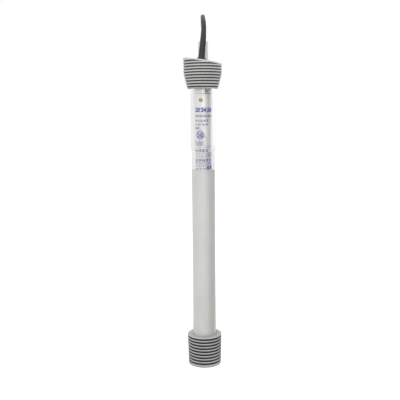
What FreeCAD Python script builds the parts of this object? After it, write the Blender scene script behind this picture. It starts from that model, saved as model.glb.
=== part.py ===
import FreeCAD, Part
import math
import os
import re
import Sketcher

# A submersible aquarium heater, upright on its foot bumper.
# Millimetres, +Z up along the glass tube, +X right, the viewer stands at -Y.
# The origin is the centre of the bumper's underside.

Vector = FreeCAD.Vector
Rotation = FreeCAD.Rotation
Placement = FreeCAD.Placement
ACROSS = Vector(1, 0, 0)
BACK = Vector(0, 1, 0)
UP = Vector(0, 0, 1)

doc = FreeCAD.newDocument("AquariumHeater")

# Driving dimensions
SIZES = {
    # glass tube
    "glass_radius": 12.0,
    "glass_wall": 1.2,
    "glass_end_round": 6.0,
    "glass_exposed": 254.0,
    "glass_in_cap": 15.5,
    "seat_gap": 0.1,
    # foot bumper and its dark rings
    "base_height": 31.5,
    "base_top_wall": 5.9,
    "base_foot_wall": 5.0,
    "base_floor": 3.0,
    "base_ring_count": 9,
    "base_ring_pitch": 3.28,
    "base_ring_height": 2.0,
    "base_ring_depth": 2.2,
    "base_ring_recess": 0.4,
    "base_first_ring": 1.5,
    # head cap and its dark rings
    "cap_foot_wall": 3.0,
    "cap_skirt_wall": 3.9,
    "cap_wall": 7.3,
    "cap_chamfer_rise": 1.1,
    "cap_taper_rise": 14.8,
    "cap_rise": 27.35,
    "cap_ring_count": 10,
    "cap_ring_pitch": 2.78,
    "cap_ring_height": 1.4,
    "cap_ring_depth": 2.2,
    "cap_ring_recess": 1.4,
    "cap_first_ring": 1.7,
    # slanted lid
    "lid_slope": 9.0,
    "lid_thickness": 1.3,
    "lid_boss_radius": 6.2,
    "lid_boss_rise": 1.2,
    # stopper in the mouth of the glass
    "stopper_depth": 10.0,
    "stopper_flange": 2.0,
    "stopper_overhang": 2.0,
    # knob, shaft and nut
    "shaft_across": 0.7,
    "shaft_inset": 3.8,
    "shaft_radius": 2.0,
    "shaft_clearance": 0.05,
    "shaft_in_knob": 14.0,
    "shaft_below_nut": 1.5,
    "knob_radius": 5.0,
    "knob_height": 18.3,
    "knob_rib_count": 20,
    "knob_rib_radius": 0.35,
    "knob_edge": 0.7,
    "knob_gap": 0.25,
    "seal_ring_wire": 0.7,
    "nut_width": 5.6,
    "nut_depth": 5.0,
    "nut_height": 6.5,
    "nut_above_strip": 2.7,
    "nut_arm_height": 3.2,
    "nut_foot_width": 1.8,
    # boot and the supply cord's end
    "cord_radius": 2.15,
    "cord_clearance": 0.12,
    "boot_across": -1.2,
    "boot_forward": 6.5,
    "boot_lean": 6.0,
    "boot_flange_rim": 0.95,
    "boot_flange": 2.3,
    "boot_length": 21.5,
    "boot_foot_wall": 0.98,
    "boot_neck_wall": 0.68,
    "boot_tip_wall": 0.33,
    "boot_tip_length": 3.3,
    "cord_start": 10.8,
    "crimp_wall": 1.2,
    "crimp_length": 3.0,
    "lead_radius": 0.7,
    # liner sleeve and heating core
    "clear_window": 81.3,
    "sleeve_gap": 0.2,
    "sleeve_wall": 0.5,
    "cushion_height": 5.1,
    "disc_thickness": 2.5,
    "lower_disc_rise": 8.5,
    "core_radius": 6.0,
    "rod_radius": 1.5,
    "rod_head_radius": 2.8,
    "rod_head": 1.2,
    "rod_end": 1.5,
    "rod_nut_radius": 3.2,
    "rod_nut_height": 3.0,
    "coil_wire_radius": 0.45,
    "coil_turns": 16,
    "coil_rise": 24.5,
    "coil_headroom": 18.25,
    "coil_lead_radius": 0.6,
    # thermostat
    "carrier_radius": 8.2,
    "carrier_wall": 1.2,
    "carrier_headroom": 3.8,
    "web_width": 15.6,
    "eyelet_across": 2.0,
    "eyelet_rise": 70.0,
    "eyelet_radius": 2.0,
    "eyelet_bore": 0.8,
    "eyelet_wall": 0.4,
    "eyelet_rim": 0.4,
    "eyelet_boss": 0.2,
    "terminal_height": 12.0,
    "terminal_inner_edge": 0.5,
    "anchor_rise": 6.0,
    "anchor_height": 8.0,
    "anchor_width": 7.0,
    "rivet_radius": 0.8,
    "rivet_head_radius": 1.3,
    "rivet_head": 0.4,
    "rivet_spacing": 4.0,
    "strip_back": 3.6,
    "strip_thickness": 0.5,
    "strip_width": 5.0,
    "strip_length": 47.6,
    "strip_gap": 0.2,
    "contact_radius": 1.2,
    "contact_below_tip": 9.8,
    "moving_contact_height": 0.6,
    "contact_gap": 0.15,
    "leaf_back": 1.7,
    "leaf_thickness": 0.35,
    "leaf_width": 3.6,
    "leaf_rise": 38.0,
    "leaf_below_tip": 1.8,
    "leaf_foot_height": 4.0,
    "leaf_foot_width": 6.0,
    "magnet_rise": 24.0,
    "magnet_height": 6.0,
    "magnet_width": 5.0,
    "magnet_gap": 0.4,
    "lamp_radius": 2.0,
    "lamp_window_height": 6.5,
    "lamp_window_edge": 0.6,
    "lamp_above_sill": 1.6,
    "lamp_round": 1.2,
    "lamp_across": 4.6,
    "lamp_forward": 4.0,
    "lamp_seat": 2.0,
    # plug
    "plug_width": 22.0,
    "plug_thickness": 15.4,
    "plug_length": 24.0,
    "plug_edge": 2.5,
    "plug_relief_length": 10.0,
    "relief_foot_wall": 2.65,
    "relief_tip_wall": 1.05,
    "blade_spacing": 12.7,
    "blade_height": 6.35,
    "blade_thickness": 1.5,
    "blade_length": 15.9,
    "blade_hole_radius": 1.6,
    "blade_hole_inset": 4.0,
    "floor_gap": 0.05,
    # hank of the unseen cord and its tie
    "fold_radius": 12.9,
    "hank_loops": 4,
    "hank_run": 76.0,
    "strand_gap": 0.5,
    "waist_gap": 0.2,
    "waist_lift": 1.6,
    "tie_gap": 0.35,
    "tie_thickness": 1.0,
    "tie_width": 6.0,
}

sheet = doc.addObject("Spreadsheet::Sheet", "Sizes")
for row, (name, number) in enumerate(SIZES.items(), 1):
    sheet.set(f"A{row}", name)
    sheet.set(f"B{row}", str(number))
    sheet.setAlias(f"B{row}", name)
doc.recompute()


def bound(words):
    """An expression in plain size names, written as references to the sheet."""
    def alias(found):
        return "Sizes." + found[0] if found[0] in SIZES else found[0]
    return re.sub(r"[a-z][a-z_]*[a-z]", alias, str(words))


def value(words):
    """The number that an expression in size names stands for now."""
    return float(sheet.evalExpression(bound(words)))


# Heights and radii that several pieces share
CAP_FOOT = "(base_height + glass_exposed)"
CAP_RADIUS = "(glass_radius + cap_wall)"
REACH = f"({CAP_RADIUS} * 2)"
GLASS_FOOT = "(base_floor + seat_gap)"
GLASS_TOP = f"({CAP_FOOT} + glass_in_cap)"
GLASS_BORE = "(glass_radius - glass_wall)"
GLASS_SEAT = "(glass_radius + seat_gap)"
SHAFT_BACK = f"({GLASS_BORE} - shaft_inset)"
STOPPER_FOOT = f"({GLASS_TOP} - stopper_depth)"
FLANGE_RADIUS = "(glass_radius + stopper_overhang)"
FLANGE_TOP = f"({GLASS_TOP} + stopper_flange)"
CHAMBER = f"({FLANGE_RADIUS} + seat_gap)"
LID_TOP = f"({CAP_FOOT} + cap_rise)"
LID_UNDER = f"({LID_TOP} - lid_thickness)"
BOSS_TOP = f"({LID_TOP} + lid_boss_rise)"
KNOB_FOOT = f"({BOSS_TOP} + knob_gap)"
CUSHION_FOOT = f"({GLASS_FOOT} + glass_wall + seat_gap)"
SLEEVE_FOOT = f"({CUSHION_FOOT} + cushion_height)"
SLEEVE_TOP = f"({CAP_FOOT} - clear_window)"
SLEEVE_RADIUS = f"({GLASS_BORE} - sleeve_gap)"
SLEEVE_BORE = f"({SLEEVE_RADIUS} - sleeve_wall)"
DISC_RADIUS = f"({SLEEVE_BORE} - seat_gap)"
LOWER_DISC = f"({SLEEVE_FOOT} + lower_disc_rise)"
UPPER_DISC = f"({SLEEVE_TOP} - disc_thickness)"
CORE_FOOT = f"({LOWER_DISC} + disc_thickness)"
COIL_CENTRE = "(core_radius + seat_gap + coil_wire_radius)"
LEAD_RING = f"({COIL_CENTRE} + coil_wire_radius + seat_gap + coil_lead_radius)"
LEAD_BACK = f"sqrt({LEAD_RING} * {LEAD_RING} - {COIL_CENTRE} * {COIL_CENTRE})"
LEAD_FACE = f"({LEAD_BACK} - coil_lead_radius - seat_gap)"
COIL_FOOT = f"({CORE_FOOT} + coil_rise)"
COIL_TOP = f"({UPPER_DISC} - coil_headroom)"
COIL_PITCH = f"(({COIL_TOP} - {COIL_FOOT}) / (coil_turns + 0.5))"
CARRIER_FOOT = SLEEVE_TOP
CARRIER_TOP = f"({STOPPER_FOOT} - carrier_headroom)"
CARRIER_HEIGHT = f"({CARRIER_TOP} - {CARRIER_FOOT})"
LAMP_SILL = f"({CARRIER_TOP} - lamp_window_height)"
LAMP_FOOT = f"({LAMP_SILL} + lamp_above_sill)"
LAMP_LENGTH = f"({STOPPER_FOOT} + lamp_seat - {LAMP_FOOT})"
ANCHOR_FOOT = f"({CARRIER_FOOT} + anchor_rise)"
STRIP_FOOT = f"({ANCHOR_FOOT} + anchor_height + strip_gap)"
STRIP_TOP = f"({STRIP_FOOT} + strip_length)"
CONTACT = f"({STRIP_TOP} - contact_below_tip)"
WEB_BACK = "(carrier_wall / 2)"

nodes = {}


def node(name, piece):
    """Keep a finished piece as the sub-part of this name."""
    piece.Label = name
    nodes[name] = piece
    return piece


def place(piece, x="0", y="0", z="0", axis=None, angle=None):
    """Put a piece at a place given in size names, turned about axis by angle."""
    piece.Placement = Placement(Vector(), Rotation(axis or UP, value(angle) if angle else 0))
    for letter, words in zip("xyz", (x, y, z)):
        piece.setExpression(f"Placement.Base.{letter}", bound(words))
    if angle:
        piece.setExpression("Placement.Rotation.Angle", bound(angle))
    return piece


def solid(kind, name, x="0", y="0", z="0", axis=None, angle=None, **sizes):
    """A Part primitive whose sizes and place are bound to the sheet."""
    piece = doc.addObject("Part::" + kind, name)
    for prop, words in sizes.items():
        piece.setExpression(prop, bound(words))
    return place(piece, x, y, z, axis, angle)


def rod(name, radius, height, **where):
    """An upright round bar."""
    return solid("Cylinder", name, Radius=radius, Height=height, **where)


def rod_back(name, radius, front, back, x="0", z="0"):
    """A round bar along Y from front to back."""
    return rod(name, radius, f"({back}) - ({front})", x=x, y=front, z=z, axis=ACROSS, angle="-90")


def block(name, width, depth, height, x="0", y="0", z="0"):
    """A box centred on x, with its front face at y and its foot at z."""
    left = f"({x}) - ({width}) / 2"
    return solid("Box", name, x=left, y=y, z=z, Length=width, Width=depth, Height=height)


def span(name, x, y, z):
    """A box between two places on each axis."""
    sizes = [f"({high}) - ({low})" for low, high in (x, y, z)]
    piece = solid("Box", name, x=x[0], y=y[0], z=z[0])
    for prop, words in zip(("Length", "Width", "Height"), sizes):
        piece.setExpression(prop, bound(words))
    return piece


def cut(name, base, *tools):
    for number, tool in enumerate(tools, 1):
        piece = doc.addObject("Part::Cut", f"{name}_cut{number}")
        piece.Base, piece.Tool = base, tool
        base = piece
    return base


def fuse(name, *parts):
    piece = doc.addObject("Part::MultiFuse", name)
    piece.Shapes = list(parts)
    return piece


def common(name, first, second):
    piece = doc.addObject("Part::Common", name)
    piece.Base, piece.Tool = first, second
    return piece


def group(name, *parts):
    """Separate solids that make up one sub-part."""
    piece = doc.addObject("Part::Compound", name)
    piece.Links = list(parts)
    return piece


def origin_feature(body, role):
    return next(f for f in body.Origin.OriginFeatures if f.Role == role)


def sketch_in(body, name, plane):
    sketch = body.newObject("Sketcher::SketchObject", name)
    sketch.AttachmentSupport = [(origin_feature(body, plane), "")]
    sketch.MapMode = "FlatFace"
    return sketch


def hold(sketch, kind, words, *where):
    """A dimension in a sketch, bound to the sheet."""
    number = sketch.addConstraint(Sketcher.Constraint(kind, *where, value(words)))
    sketch.setExpression(f"Constraints[{number}]", bound(words))


def draw(sketch, points):
    """A closed outline, each corner held to the origin by two bound distances."""
    corners = [Vector(value(a), value(b), 0) for a, b in points]
    for here, there in zip(corners, corners[1:] + corners[:1]):
        sketch.addGeometry(Part.LineSegment(here, there), False)
    for k in range(len(points)):
        sketch.addConstraint(Sketcher.Constraint("Coincident", k, 2, (k + 1) % len(points), 1))
    for k, (a, b) in enumerate(points):
        hold(sketch, "DistanceX", a, -1, 1, k, 1)
        hold(sketch, "DistanceY", b, -1, 1, k, 1)


def draw_circle(sketch, radius, across="0"):
    """A circle whose centre is across from the origin along the sketch's first axis."""
    centre = Vector(value(across), 0, 0)
    ring = sketch.addGeometry(Part.Circle(centre, UP, value(radius)), False)
    hold(sketch, "Radius", radius, ring)
    sketch.addConstraint(Sketcher.Constraint("PointOnObject", ring, 3, -1))
    hold(sketch, "DistanceX", across, -1, 1, ring, 3)


def pad_on(body, name, sketch, length, reverse=False):
    pad = body.newObject("PartDesign::Pad", name)
    pad.Profile = sketch
    pad.Reversed = reverse
    pad.setExpression("Length", bound(length))
    return pad


def turned(name, points):
    """A body turned about the tube's axis from an outline of (radius, height) corners."""
    body = doc.addObject("PartDesign::Body", name)
    sketch = sketch_in(body, name + "_outline", "XZ_Plane")
    draw(sketch, points)
    turn = body.newObject("PartDesign::Revolution", name + "_turn")
    turn.Profile = sketch
    turn.ReferenceAxis = (sketch, ["V_Axis"])
    turn.Angle = 360
    return body


def rounded(body, name, feature, edges, radius):
    """Fillet the named edges of a body's feature, or all of them."""
    doc.recompute()
    fillet = body.newObject("PartDesign::Fillet", name)
    fillet.Base = (feature, edges or ["Edge1"])
    fillet.UseAllEdges = not edges
    fillet.setExpression("Radius", bound(radius))
    body.Tip = fillet
    return fillet


def circle_at(feature, height, radius):
    """The name of a feature's round edge at a height and a radius on its own axis."""
    doc.recompute()
    for number, edge in enumerate(feature.Shape.Edges, 1):
        curve = edge.Curve
        if isinstance(curve, Part.Circle) and abs(curve.Center.z - value(height)) < 1e-6:
            if abs(curve.Radius - value(radius)) < 1e-6:
                return f"Edge{number}"
    raise ValueError(f"{feature.Label} has no such edge")


def ring_slabs(name, count, pitch, height, centre, reach):
    """Flat round slabs at an even pitch, which mark where a cap's grooves lie."""
    slabs = []
    for k in range(int(value(count))):
        foot = f"{centre} + {k} * ({pitch}) - {height} / 2"
        slabs.append(rod(f"{name}_{k}", reach, height, z=foot))
    return fuse(name, *slabs)


def slanted_box(name, plane, height):
    """A wide box that starts at the plane parallel to the lid through this height on the axis."""
    return solid(
        "Box", name, axis=BACK, angle="lid_slope",
        x=f"-{REACH} * cos(lid_slope * 1deg)", y=f"-{REACH}",
        z=f"{plane} + {REACH} * sin(lid_slope * 1deg)",
        Length=f"2 * {REACH}", Width=f"2 * {REACH}", Height=height)


# Glass tube, closed and rounded at its foot
GLASS_INSIDE = f"({GLASS_FOOT} + glass_wall)"
body = turned("glass_tube", [
    ("0", GLASS_FOOT), ("glass_radius", GLASS_FOOT), ("glass_radius", GLASS_TOP),
    (GLASS_BORE, GLASS_TOP), (GLASS_BORE, GLASS_INSIDE), ("0", GLASS_INSIDE)])
edge = circle_at(body.Tip, GLASS_FOOT, "glass_radius")
outer = rounded(body, "glass_outer_round", body.Tip, [edge], "glass_end_round")
edge = circle_at(outer, GLASS_INSIDE, GLASS_BORE)
rounded(body, "glass_inner_round", outer, [edge], "glass_end_round - glass_wall")
node("glass_tube", body)

# Foot bumper: a soft cup with grooves that hold dark rings
BASE_FOOT_RADIUS = "(glass_radius + base_foot_wall)"
BASE_TOP_RADIUS = "(glass_radius + base_top_wall)"


def base_zone(name, outside):
    """The bumper's wall from the rings' depth inside its face to outside it."""
    return turned(name, [
        (f"{BASE_FOOT_RADIUS} + {outside}", "0"),
        (f"{BASE_TOP_RADIUS} + {outside}", "base_height"),
        (f"{BASE_TOP_RADIUS} - base_ring_depth", "base_height"),
        (f"{BASE_FOOT_RADIUS} - base_ring_depth", "0")])


base_cup = turned("base_cup", [
    ("0", "0"), (BASE_FOOT_RADIUS, "0"), (BASE_TOP_RADIUS, "base_height"),
    (GLASS_SEAT, "base_height"), (GLASS_SEAT, "base_floor"), ("0", "base_floor")])
base_slabs = ring_slabs(
    "base_slabs", "base_ring_count", "-base_ring_pitch", "base_ring_height",
    "base_height - base_first_ring", f"{BASE_TOP_RADIUS} + base_ring_depth * 2")
base_grooves = common("base_grooves", base_slabs, base_zone("base_groove_zone", "base_ring_depth"))
node("base_bumper", cut("base_bumper", base_cup, base_grooves))
ring_zone = base_zone("base_ring_zone", "(-base_ring_recess)")
node("base_rings", common("base_rings", base_slabs, ring_zone))

# Head cap: ribbed, cut off at a slant, with a chamber over the stopper
CAP_OUTLINE = [
    ("glass_radius + cap_foot_wall", CAP_FOOT),
    ("glass_radius + cap_skirt_wall", f"{CAP_FOOT} + cap_chamfer_rise"),
    (CAP_RADIUS, f"{CAP_FOOT} + cap_taper_rise"),
    (CAP_RADIUS, f"{LID_TOP} + {CAP_RADIUS}")]


def cap_zone(name, outside):
    """The cap's wall from the rings' depth inside its face to outside it."""
    outer_face = [(f"{r} + {outside}", z) for r, z in CAP_OUTLINE]
    inner_face = [(f"{r} - cap_ring_depth", z) for r, z in CAP_OUTLINE]
    return turned(name, outer_face + inner_face[::-1])


cap_blank = turned("cap_blank", CAP_OUTLINE + [
    (CHAMBER, f"{LID_TOP} + {CAP_RADIUS}"), (CHAMBER, GLASS_TOP),
    (GLASS_SEAT, GLASS_TOP), (GLASS_SEAT, CAP_FOOT)])
cap_slabs = ring_slabs(
    "cap_slabs", "cap_ring_count", "cap_ring_pitch", "cap_ring_height",
    f"{CAP_FOOT} + cap_first_ring", f"{CAP_RADIUS} + cap_ring_depth")
above_cap = slanted_box("above_cap", LID_UNDER, REACH)
cap_grooves = common("cap_grooves", cap_slabs, cap_zone("cap_groove_zone", "cap_ring_depth"))
node("top_cap", cut("top_cap", cap_blank, cap_grooves, above_cap))
ring_blanks = common("cap_ring_blanks", cap_slabs, cap_zone("cap_ring_zone", "(-cap_ring_recess)"))
node("cap_rings", cut("cap_rings", ring_blanks, above_cap))

# Holes that the shaft and the cord pass through
SHAFT = dict(x="shaft_across", y=SHAFT_BACK)
SHAFT_HOLE = "shaft_radius + shaft_clearance"
BOOT_FOOT = f"({LID_TOP} - boot_across * tan(lid_slope * 1deg))"
CORD_END = f"({FLANGE_TOP} + seat_gap - {BOOT_FOOT} + 0.5 * cord_radius)"


def on_boot_axis(name, radius, start, height):
    """A round bar on the boot's leaning axis, from start millimetres above the lid."""
    return rod(name, radius, height, axis=BACK, angle="boot_lean",
               x=f"boot_across + ({start}) * sin(boot_lean * 1deg)", y="-boot_forward",
               z=f"{BOOT_FOOT} + ({start}) * cos(boot_lean * 1deg)")


shaft_hole = rod("shaft_hole", SHAFT_HOLE, f"{REACH} * 2", z=f"{GLASS_TOP} - {REACH}", **SHAFT)
cord_hole = on_boot_axis("cord_hole", "cord_radius + cord_clearance",
                         f"{CORD_END} - crimp_length", f"boot_length * 2 - {CORD_END}")

# Slanted lid with the boss that the knob stands over
lid_round = rod("lid_round", CAP_RADIUS, f"2 * {CAP_RADIUS}", z=f"{LID_TOP} - {CAP_RADIUS}")
lid_slab = slanted_box("lid_slab", LID_UNDER, "lid_thickness * cos(lid_slope * 1deg)")
lid_plate = common("lid_plate", lid_round, lid_slab)
boss_round = rod("boss_round", "lid_boss_radius", f"{BOSS_TOP} - {LID_UNDER} + lid_boss_radius",
                 z=f"{LID_UNDER} - lid_boss_radius", **SHAFT)
under_lid = slanted_box("under_lid", f"{LID_UNDER} - {REACH} / cos(lid_slope * 1deg)", REACH)
lid_boss = cut("lid_boss", boss_round, under_lid)
node("cap_lid", cut("cap_lid", fuse("lid_with_boss", lid_plate, lid_boss), shaft_hole, cord_hole))

# Hard insert in the chamber, with pockets for the shaft's seal and the crimp on the cord
SEAL_RADIUS = f"({SHAFT_HOLE} + seal_ring_wire)"
insert_round = rod("insert_round", FLANGE_RADIUS, f"{LID_TOP} - {FLANGE_TOP} + {CAP_RADIUS}",
                   z=FLANGE_TOP)
seal_pocket = rod("seal_pocket", f"{SEAL_RADIUS} + seal_ring_wire + shaft_clearance",
                  "3 * seal_ring_wire", z=FLANGE_TOP, **SHAFT)
crimp_pocket = on_boot_axis("crimp_pocket", "cord_radius + crimp_wall + 2 * seat_gap",
                            f"{CORD_END} - crimp_length", "2 * crimp_length + 2 * seat_gap")
node("head_insert", cut("head_insert", insert_round, above_cap, shaft_hole, cord_hole,
                        seal_pocket, crimp_pocket))
node("shaft_seal_ring", solid("Torus", "shaft_seal_ring", z=f"{FLANGE_TOP} + 1.5 * seal_ring_wire",
                              Radius1=SEAL_RADIUS, Radius2="seal_ring_wire", **SHAFT))

# Rubber stopper in the mouth of the glass
LEAD_PLACES = [
    ("-(terminal_inner_edge + web_width / 2 - 2 * lead_radius) / 2 - lead_radius / 2",
     f"{LEAD_FACE} + seat_gap + lead_radius"),
    ("leaf_foot_width / 2 + lead_radius + seat_gap", "leaf_back")]
stopper_blank = turned("stopper_blank", [
    ("0", STOPPER_FOOT), (f"{GLASS_BORE} - seat_gap", STOPPER_FOOT),
    (f"{GLASS_BORE} - seat_gap", GLASS_TOP), (FLANGE_RADIUS, GLASS_TOP),
    (FLANGE_RADIUS, FLANGE_TOP), ("0", FLANGE_TOP)])
lamp_pocket = rod("lamp_pocket", "lamp_radius + seat_gap", "lamp_seat + seat_gap",
                  x="lamp_across", y="-lamp_forward", z=STOPPER_FOOT)
lead_holes = [rod(f"lead_hole_{k}", "lead_radius + seat_gap", REACH, x=x, y=y,
                  z=f"{GLASS_TOP} - {CAP_RADIUS}") for k, (x, y) in enumerate(LEAD_PLACES)]
node("seal_stopper", cut("seal_stopper", stopper_blank, shaft_hole, lamp_pocket, *lead_holes))

# Temperature knob with fine ribs
body = doc.addObject("PartDesign::Body", "knob_round")
sketch = sketch_in(body, "knob_circle", "XY_Plane")
draw_circle(sketch, "knob_radius")
pad = pad_on(body, "knob_pad", sketch, "knob_height")
edge = circle_at(pad, "knob_height", "knob_radius")
rounded(body, "knob_edge_round", pad, [edge], "knob_edge")
doc.recompute()
sketch = sketch_in(body, "knob_valley_circle", "XY_Plane")
draw_circle(sketch, "knob_rib_radius", "knob_radius")
valley = body.newObject("PartDesign::Pocket", "knob_valley")
valley.Profile = sketch
valley.Reversed = True
valley.setExpression("Length", bound("knob_height - 2 * knob_edge"))
doc.recompute()
ribs = body.newObject("PartDesign::PolarPattern", "knob_ribs")
ribs.Originals = [valley]
ribs.Axis = (origin_feature(body, "Z_Axis"), [""])
ribs.Angle = 360
ribs.setExpression("Occurrences", bound("knob_rib_count"))
body.Tip = ribs
place(body, z=KNOB_FOOT, **SHAFT)
knob_bore = rod("knob_bore", "shaft_radius + seat_gap", "shaft_in_knob + seat_gap",
                z=KNOB_FOOT, **SHAFT)
node("temperature_knob", cut("temperature_knob", body, knob_bore))

# Shaft, and the nut on its screw, with an arm over the strip and a foot before the leaf
NUT_FOOT = f"({STRIP_TOP} + nut_above_strip)"
SHAFT_FOOT = f"({NUT_FOOT} - shaft_below_nut)"
ARM_FRONT = f"({WEB_BACK} + 2 * seat_gap)"
node("adjuster_shaft", rod("adjuster_shaft", "shaft_radius",
                           f"{KNOB_FOOT} + shaft_in_knob - {SHAFT_FOOT}", z=SHAFT_FOOT, **SHAFT))
nut_block = block("nut_block", "nut_width", "nut_depth", "nut_height",
                  x="shaft_across", y=f"{SHAFT_BACK} - nut_depth / 2", z=NUT_FOOT)
nut_arm = block("nut_arm", "nut_foot_width", f"{SHAFT_BACK} - {ARM_FRONT}", "nut_arm_height",
                x="shaft_across", y=ARM_FRONT, z=NUT_FOOT)
nut_foot = block("nut_foot", "nut_foot_width", f"leaf_back - 2 * seat_gap - {ARM_FRONT}",
                 f"{NUT_FOOT} - {CONTACT} - contact_radius",
                 x="shaft_across", y=ARM_FRONT, z=f"{CONTACT} + contact_radius")
nut_hole = rod("nut_hole", SHAFT_HOLE, "nut_height * 3", z=f"{NUT_FOOT} - nut_height", **SHAFT)
node("adjuster_nut", cut("adjuster_nut", fuse("nut_blank", nut_block, nut_arm, nut_foot), nut_hole))

# Boot on the lid, the cord's end inside the cap and the ring crimped on it
BOOT_BORE = "(cord_radius + cord_clearance)"
boot_cone = turned("boot_cone", [
    ("0", "boot_flange / 3"), (f"{BOOT_BORE} + boot_foot_wall", "boot_flange / 3"),
    (f"{BOOT_BORE} + boot_neck_wall", "boot_length - boot_tip_length"),
    (f"{BOOT_BORE} + boot_tip_wall", "boot_length"), ("0", "boot_length")])
place(boot_cone, "boot_across", "-boot_forward", BOOT_FOOT, BACK, "boot_lean")
boot_disc = rod("boot_disc", f"{BOOT_BORE} + boot_foot_wall + boot_flange_rim", "boot_flange",
                axis=BACK, angle="lid_slope", x="boot_across", y="-boot_forward", z=BOOT_FOOT)
node("cord_boot", cut("cord_boot", fuse("boot_blank", boot_cone, boot_disc), cord_hole))
node("cord_inner_end", on_boot_axis("cord_inner_end", "cord_radius", CORD_END,
                                    f"cord_start - {CORD_END}"))
crimp_round = on_boot_axis("crimp_round", "cord_radius + crimp_wall",
                           f"{CORD_END} + seat_gap", "crimp_length - 2 * seat_gap")
crimp_hole = on_boot_axis("crimp_hole", "cord_radius + seat_gap / 2",
                          f"{CORD_END} - crimp_length", "4 * crimp_length")
node("cord_crimp_ring", cut("cord_crimp_ring", crimp_round, crimp_hole))

# Liner sleeve and the heating core inside it
node("end_cushion", turned("end_cushion", [
    ("0", CUSHION_FOOT), (f"{GLASS_BORE} - glass_end_round + glass_wall", CUSHION_FOOT),
    (SLEEVE_RADIUS, f"{GLASS_FOOT} + glass_end_round"), (SLEEVE_RADIUS, SLEEVE_FOOT),
    ("0", SLEEVE_FOOT)]))
sleeve_round = rod("sleeve_round", SLEEVE_RADIUS, f"{SLEEVE_TOP} - {SLEEVE_FOOT}", z=SLEEVE_FOOT)
sleeve_hole = rod("sleeve_hole", SLEEVE_BORE, f"2 * {SLEEVE_TOP}", z=f"-{SLEEVE_TOP} / 4")
node("heat_sleeve", cut("heat_sleeve", sleeve_round, sleeve_hole))
COIL_LEADS = [(COIL_CENTRE, LEAD_BACK, COIL_TOP, f"{CARRIER_FOOT} + anchor_rise + anchor_height"),
              (f"-{COIL_CENTRE}", LEAD_BACK, COIL_FOOT, f"{CARRIER_FOOT} + eyelet_rise")]
rod_hole = rod("rod_hole", "rod_radius + seat_gap", f"2 * {SLEEVE_TOP}", z=f"-{SLEEVE_TOP} / 4")
head_pocket = rod("head_pocket", "rod_head_radius + seat_gap", "rod_head * 3",
                  z=f"{SLEEVE_TOP} - rod_head - 2 * seat_gap")
wire_holes = [rod(f"wire_hole_{k}", "coil_lead_radius + seat_gap", "3 * disc_thickness",
                  x=x, y=y, z=f"{UPPER_DISC} - disc_thickness")
              for k, (x, y, foot, top) in enumerate(COIL_LEADS)]
upper_round = rod("upper_disc_round", DISC_RADIUS, "disc_thickness", z=UPPER_DISC)
node("upper_core_disc", cut("upper_core_disc", upper_round, rod_hole, head_pocket, *wire_holes))
lower_round = rod("lower_disc_round", DISC_RADIUS, "disc_thickness", z=LOWER_DISC)
node("lower_core_disc", cut("lower_core_disc", lower_round, rod_hole))
core = solid("Prism", "core_prism", z=CORE_FOOT, Circumradius="core_radius",
             Height=f"{UPPER_DISC} - {CORE_FOOT}")
core.Polygon = 6
node("ceramic_core", cut("ceramic_core", core, rod_hole))
ROD_FOOT = f"({LOWER_DISC} - rod_nut_height - rod_end)"
ROD_TOP = f"({SLEEVE_TOP} - seat_gap)"
rod_shank = rod("rod_shank", "rod_radius", f"{ROD_TOP} - {ROD_FOOT}", z=ROD_FOOT)
rod_disc = rod("rod_disc", "rod_head_radius", "rod_head", z=f"{ROD_TOP} - rod_head")
node("support_rod", fuse("support_rod", rod_shank, rod_disc))
nut_prism = solid("Prism", "rod_nut_prism", z=f"{LOWER_DISC} - rod_nut_height",
                  Circumradius="rod_nut_radius", Height="rod_nut_height")
nut_prism.Polygon = 6
nut_bore = rod("rod_nut_bore", "rod_radius + seat_gap / 2", "3 * rod_nut_height",
               z=f"{LOWER_DISC} - 2 * rod_nut_height")
node("rod_nut", cut("rod_nut", nut_prism, nut_bore))
node("coil_leads", group("coil_leads", *[
    rod(f"coil_lead_{k}", "coil_lead_radius", f"({top}) - {foot} + coil_wire_radius",
        x=x, y=y, z=f"{foot} - coil_wire_radius")
    for k, (x, y, foot, top) in enumerate(COIL_LEADS)]))

# Thermostat carrier: a half-round shell with a flat web, standing on the sleeve's top
EYELET_X = "-eyelet_across"
EYELET_Z = f"{CARRIER_FOOT} + eyelet_rise"
EYELET_FACE = "(-carrier_radius - eyelet_boss)"
EYELET_BARREL = "(eyelet_bore + eyelet_wall)"
EYELET_HOLE = f"({EYELET_BARREL} + seat_gap)"
TERMINAL_BACK = LEAD_FACE


def on_eyelet(name, radius, front, back):
    return rod_back(name, radius, front, back, EYELET_X, EYELET_Z)


def rivet_bars(name, radius, front, back):
    """A round bar for each of the two rivets of the strip's anchor."""
    return [rod_back(f"{name}_{k}", radius, front, back, f"{side} * rivet_spacing / 2",
                     f"{CARRIER_FOOT} + anchor_rise + anchor_height / 2")
            for k, side in enumerate((-1, 1))]


carrier_round = rod("carrier_round", "carrier_radius", CARRIER_HEIGHT, z=CARRIER_FOOT)
carrier_back = block("carrier_back", "3 * carrier_radius", "2 * carrier_radius",
                     f"2 * {CARRIER_HEIGHT}", y=WEB_BACK, z=f"{CARRIER_FOOT} - carrier_radius")
hollow_round = rod("hollow_round", "carrier_radius - carrier_wall", f"2 * {CARRIER_HEIGHT}",
                   z=f"{CARRIER_FOOT} - carrier_radius")
hollow_back = block("hollow_back", "3 * carrier_radius", "2 * carrier_radius",
                    f"3 * {CARRIER_HEIGHT}", y=f"-{WEB_BACK}",
                    z=f"{CARRIER_FOOT} - 2 * carrier_radius")
lamp_window = span("lamp_window",
                   ("lamp_across - lamp_radius - lamp_window_edge", "2 * carrier_radius"),
                   ("-2 * carrier_radius", f"-{WEB_BACK}"), (LAMP_SILL, f"{STOPPER_FOOT} + carrier_radius"))
carrier_shell = cut("carrier_shell", carrier_round, carrier_back,
                    cut("carrier_hollow", hollow_round, hollow_back), lamp_window)
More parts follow.
